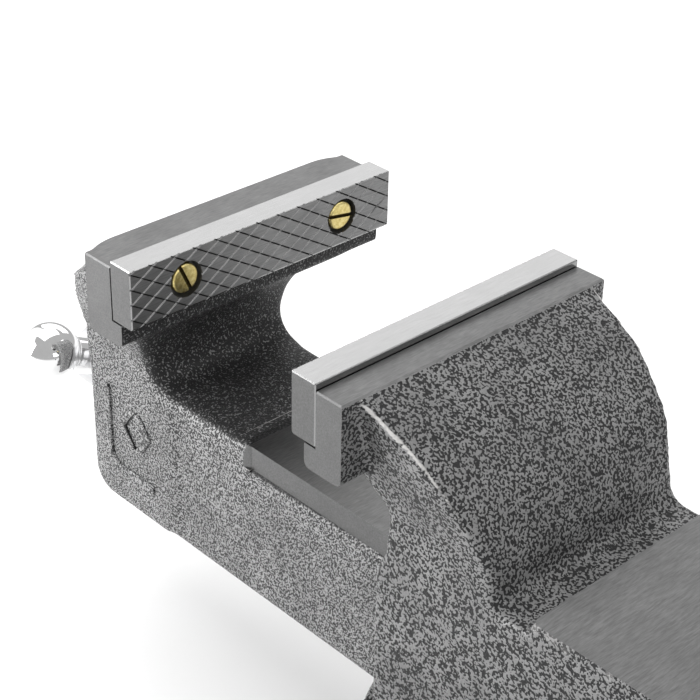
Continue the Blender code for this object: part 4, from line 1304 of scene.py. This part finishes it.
def ball_profile(radius, neck, collar):
    """A ball that ends in a short collar: a half circle stopped at the neck's radius."""
    stop = math.asin(neck / radius)
    angle = np.linspace(0, math.pi - stop, 40)
    arc = np.stack([radius * np.sin(angle), radius * np.cos(angle)], 1)
    arc[0, 0] = 0
    end = -radius * math.cos(stop)
    tail = [(neck, end - collar * 0.5), (neck - 0.35, end - collar), (0, end - collar)]
    return np.concatenate([arc, tail])


class VISE_OT_handle(bpy.types.Operator):
    """Makes the sliding handle and its two balls"""

    bl_idname = "vise.handle"
    bl_label = "Handle"

    def execute(self, context):
        chrome = material_for("chrome")
        near, far, radius = -31, 119, 6.35
        start, end = handle_line(near - 3), handle_line(far + 3)
        length = (end - start).length
        profile = [
            (0, 0), (radius - 0.6, 0), (radius, 0.6),
            (radius, length - 0.6), (radius - 0.6, length), (0, length),
        ]
        bar = solid("handle_bar_turned", turned(profile, facing(start * MM, end - start)), chrome)
        finish_piece(bar, "handle", "handle_chrome", "handle_bar")
        for side, place, inward in (("right", near, 1), ("left", far, -1)):
            outward = handle_line(place - inward) - handle_line(place)
            frame_here = facing(handle_line(place) * MM, outward)
            shape = turned(ball_profile(10, 7.3, 1.2), frame_here, 128)
            ball = solid(f"handle_ball_{side}_turned", shape, chrome)
            stop = handle_line(place - inward * 3.3)
            mouth = handle_line(place + inward * 14)
            machine(ball, chrome, socket=cylinder(stop, mouth, radius + 0.12, 96))
            finish_piece(ball, "handle", "handle_chrome", f"handle_ball_{side}")
        return {"FINISHED"}


class VISE_OT_swivel_clamps(bpy.types.Operator):
    """Makes the two T-bolts, washers, nuts, levers and knobs that lock the swivel"""

    bl_idname = "vise.swivel_clamps"
    bl_label = "Swivel Clamps"

    def execute(self, context):
        steel, zinc, black = material_for("bright_steel"), material_for("zinc"), material_for("black_plastic")
        for side, sign in SIDES:
            y = sign * SLOT_RADIUS
            place = Matrix.Translation((0, y * MM, 0))

            low, high = (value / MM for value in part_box(f"clamp_bolt_{side}"))
            half = (high.x - low.x) / 2
            bolt = solid(
                f"clamp_bolt_{side}_forged",
                block((low.x, y - half, low.z), (high.x, y + half, low.z + 7), 0.6), zinc,
            )
            shank = [(0, low.z + 6), (4, low.z + 6), (4, high.z - 1), (3, high.z), (0, high.z)]
            combine(bolt, "UNION", solid("bolt_shank", turned(shank, place, 48), zinc))
            finish_piece(bolt, "vise_body", "zinc_steel", f"clamp_bolt_{side}")

            low, high = (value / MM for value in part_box(f"clamp_washer_{side}"))
            profile = ring_profile(4.3, (high.x - low.x) / 2, low.z, high.z, 0.3)
            washer = solid(f"clamp_washer_{side}_turned", turned(profile, place, 64, True), zinc)
            finish_piece(washer, "vise_body", "zinc_steel", f"clamp_washer_{side}")

            body = f"lever_{side}"
            low, high = (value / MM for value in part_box(f"clamp_nut_{side}"))
            profile = ring_profile(4.3, (high.x - low.x) / 2, low.z, high.z, 0.9)
            nut = solid(f"clamp_nut_{side}_turned", turned(profile, place, 96, True), steel)
            rise, turn = math.radians(18), math.radians(25)
            flat = math.cos(rise)
            heading = Vector((math.sin(turn) * flat, sign * math.cos(turn) * flat, math.sin(rise)))
            centre = Vector((0, y, low.z + 7.5))
            socket = cylinder(centre + heading * 5.3, centre + heading * 14, 3.8, 48)
            machine(nut, steel, lever_socket=socket)
            finish_piece(nut, body, "bright_steel", f"clamp_nut_{side}")

            start = centre + heading * 5.6
            length = 46.4
            rod = [(0, 0), (3.2, 0), (3.5, 0.3), (3.5, length - 0.4), (3.1, length), (0, length)]
            lever = solid(f"clamp_lever_{side}_turned", turned(rod, facing(start * MM, heading), 48), steel)
            finish_piece(lever, body, "bright_steel", f"clamp_lever_{side}")

            middle = centre + heading * 52
            shape = turned(ball_profile(9, 5.2, 0.6), facing(middle * MM, heading))
            knob = solid(f"clamp_knob_{side}_moulded", shape, black)
            socket = cylinder(middle + heading * 0.3, middle - heading * 14, 3.7, 48)
            machine(knob, black, lever_socket=socket)
            finish_piece(knob, body, "knob_black", f"clamp_knob_{side}")
        return {"FINISHED"}


# ---- Stage ---------------------------------------------------------------------------------------


def softbox(name, place, target, size, power):
    """A rectangular area light that faces a point."""
    light = bpy.data.lights.new(name, "AREA")
    light.shape = "RECTANGLE"
    light.size, light.size_y = size
    light.energy = power
    obj = bpy.data.objects.new(name, light)
    obj.location = place
    obj.rotation_euler = (Vector(target) - Vector(place)).to_track_quat("-Z", "Y").to_euler()
    bpy.context.scene.collection.objects.link(obj)
    return obj


class VISE_OT_stage(bpy.types.Operator):
    """Sets up the camera, the floor, the surround and the soft lights"""

    bl_idname = "vise.stage"
    bl_label = "Stage"

    def execute(self, context):
        stage = context.scene.vise.stage
        for old in [o for o in context.scene.objects if o.type in ("LIGHT", "CAMERA")]:
            bpy.data.objects.remove(old)
        camera = bpy.data.objects.new("camera", bpy.data.cameras.new("camera"))
        camera.data.lens = stage.lens
        camera.data.sensor_width = 36
        camera.location = (0.2342993, -0.3120050, 0.4030221)
        camera.rotation_euler = (1.0265, -0.0182, 0.8203)
        context.scene.collection.objects.link(camera)
        context.scene.camera = camera

        material, tree, shader, place = new_material("pale_floor", Roughness=0.9, Specular_IOR_Level=0.1)
        cloud = add(tree, "ShaderNodeTexNoise", (-900, 0), None, Vector=place, Scale=3.0, Detail=2.0)
        pale, paler = tuple(0.98 * c for c in stage.floor), tuple(stage.floor)
        tone = blend_colours(tree, (-500, 0), cloud.outputs[0], pale, paler)
        tree.links.new(tone, shader.inputs["Base Color"])
        angle = np.linspace(0, TURN, 96, endpoint=False)
        disc = np.stack([6 * np.cos(angle), 6 * np.sin(angle), 0 * angle], 1)
        mesh = bpy.data.meshes.new("floor")
        mesh.from_pydata(disc.tolist(), [], [list(range(96))])
        mesh.materials.append(material)
        floor = bpy.data.objects.new("floor", mesh)
        context.scene.collection.objects.link(floor)

        world = context.scene.world or bpy.data.worlds.new("surround")
        context.scene.world = world
        world.use_nodes = True
        background = world.node_tree.nodes["Background"]
        background.inputs["Color"].default_value = (1, 1, 1, 1)
        background.inputs["Strength"].default_value = stage.sky

        target = (-0.09, 0, 0.12)
        softbox("overhead", (-0.8, 0.2, 1.6), (-0.8, 0.2, 0), (1.5, 1.8), stage.overhead)
        softbox("near_side", (-0.65, -0.6, 0.34), target, (0.55, 0.55), stage.side)
        softbox("back", (-1.1, 1.1, 0.95), target, (1.8, 0.8), stage.back)
        softbox("wall", (-1.7, -0.8, 1.0), (0, -0.8, 1.0), (2.2, 2.2), stage.wall)
        softbox("rim", (0.67, 0.9, 0.95), target, (0.35, 0.35), stage.rim)
        softbox("fill", (1.3, -0.1, 0.45), target, (1.0, 0.35), stage.fill)
        softbox("glint", (0.75, 0.25, 1.05), target, (1.5, 0.3), stage.glint)
        context.scene.view_settings.view_transform = "Standard"
        return {"FINISHED"}


# ---- Panel and registration ----------------------------------------------------------------------


OPERATORS = (
    VISE_OT_moving_jaw,
    VISE_OT_fixed_jaw,
    VISE_OT_swivel_base,
    VISE_OT_jaw_plates,
    VISE_OT_plate_screws,
    VISE_OT_lead_screw,
    VISE_OT_spindle_rings,
    VISE_OT_lead_nut,
    VISE_OT_handle,
    VISE_OT_swivel_clamps,
    VISE_OT_stage,
)


class VISE_PT_panel(bpy.types.Panel):
    """Settings and pieces of the vise"""

    bl_idname = "VISE_PT_panel"
    bl_label = "Bench Vise"
    bl_space_type = "VIEW_3D"
    bl_region_type = "UI"
    bl_category = "Vise"

    def draw(self, context):
        layout = self.layout
        for label in ("casting", "paint", "plate", "screw", "stage"):
            group = getattr(context.scene.vise, label)
            box = layout.box()
            box.label(text=label.title())
            for name in group.bl_rna.properties.keys():
                if name not in ("rna_type", "name"):
                    box.prop(group, name)
        for operator in OPERATORS:
            layout.operator(operator.bl_idname)


CLASSES = (
    ViseCastingSettings,
    VisePaintSettings,
    VisePlateSettings,
    ViseScrewSettings,
    ViseStageSettings,
    ViseSettings,
    *OPERATORS,
    VISE_PT_panel,
)


def register():
    for cls in CLASSES:
        bpy.utils.register_class(cls)
    bpy.types.Scene.vise = PointerProperty(type=ViseSettings)


def unregister():
    del bpy.types.Scene.vise
    for cls in reversed(CLASSES):
        bpy.utils.unregister_class(cls)


def main():
    """Builds every piece."""
    register()
    for operator in OPERATORS:
        group, name = operator.bl_idname.split(".")
        getattr(getattr(bpy.ops, group), name)()


if __name__ == "__main__":
    main()
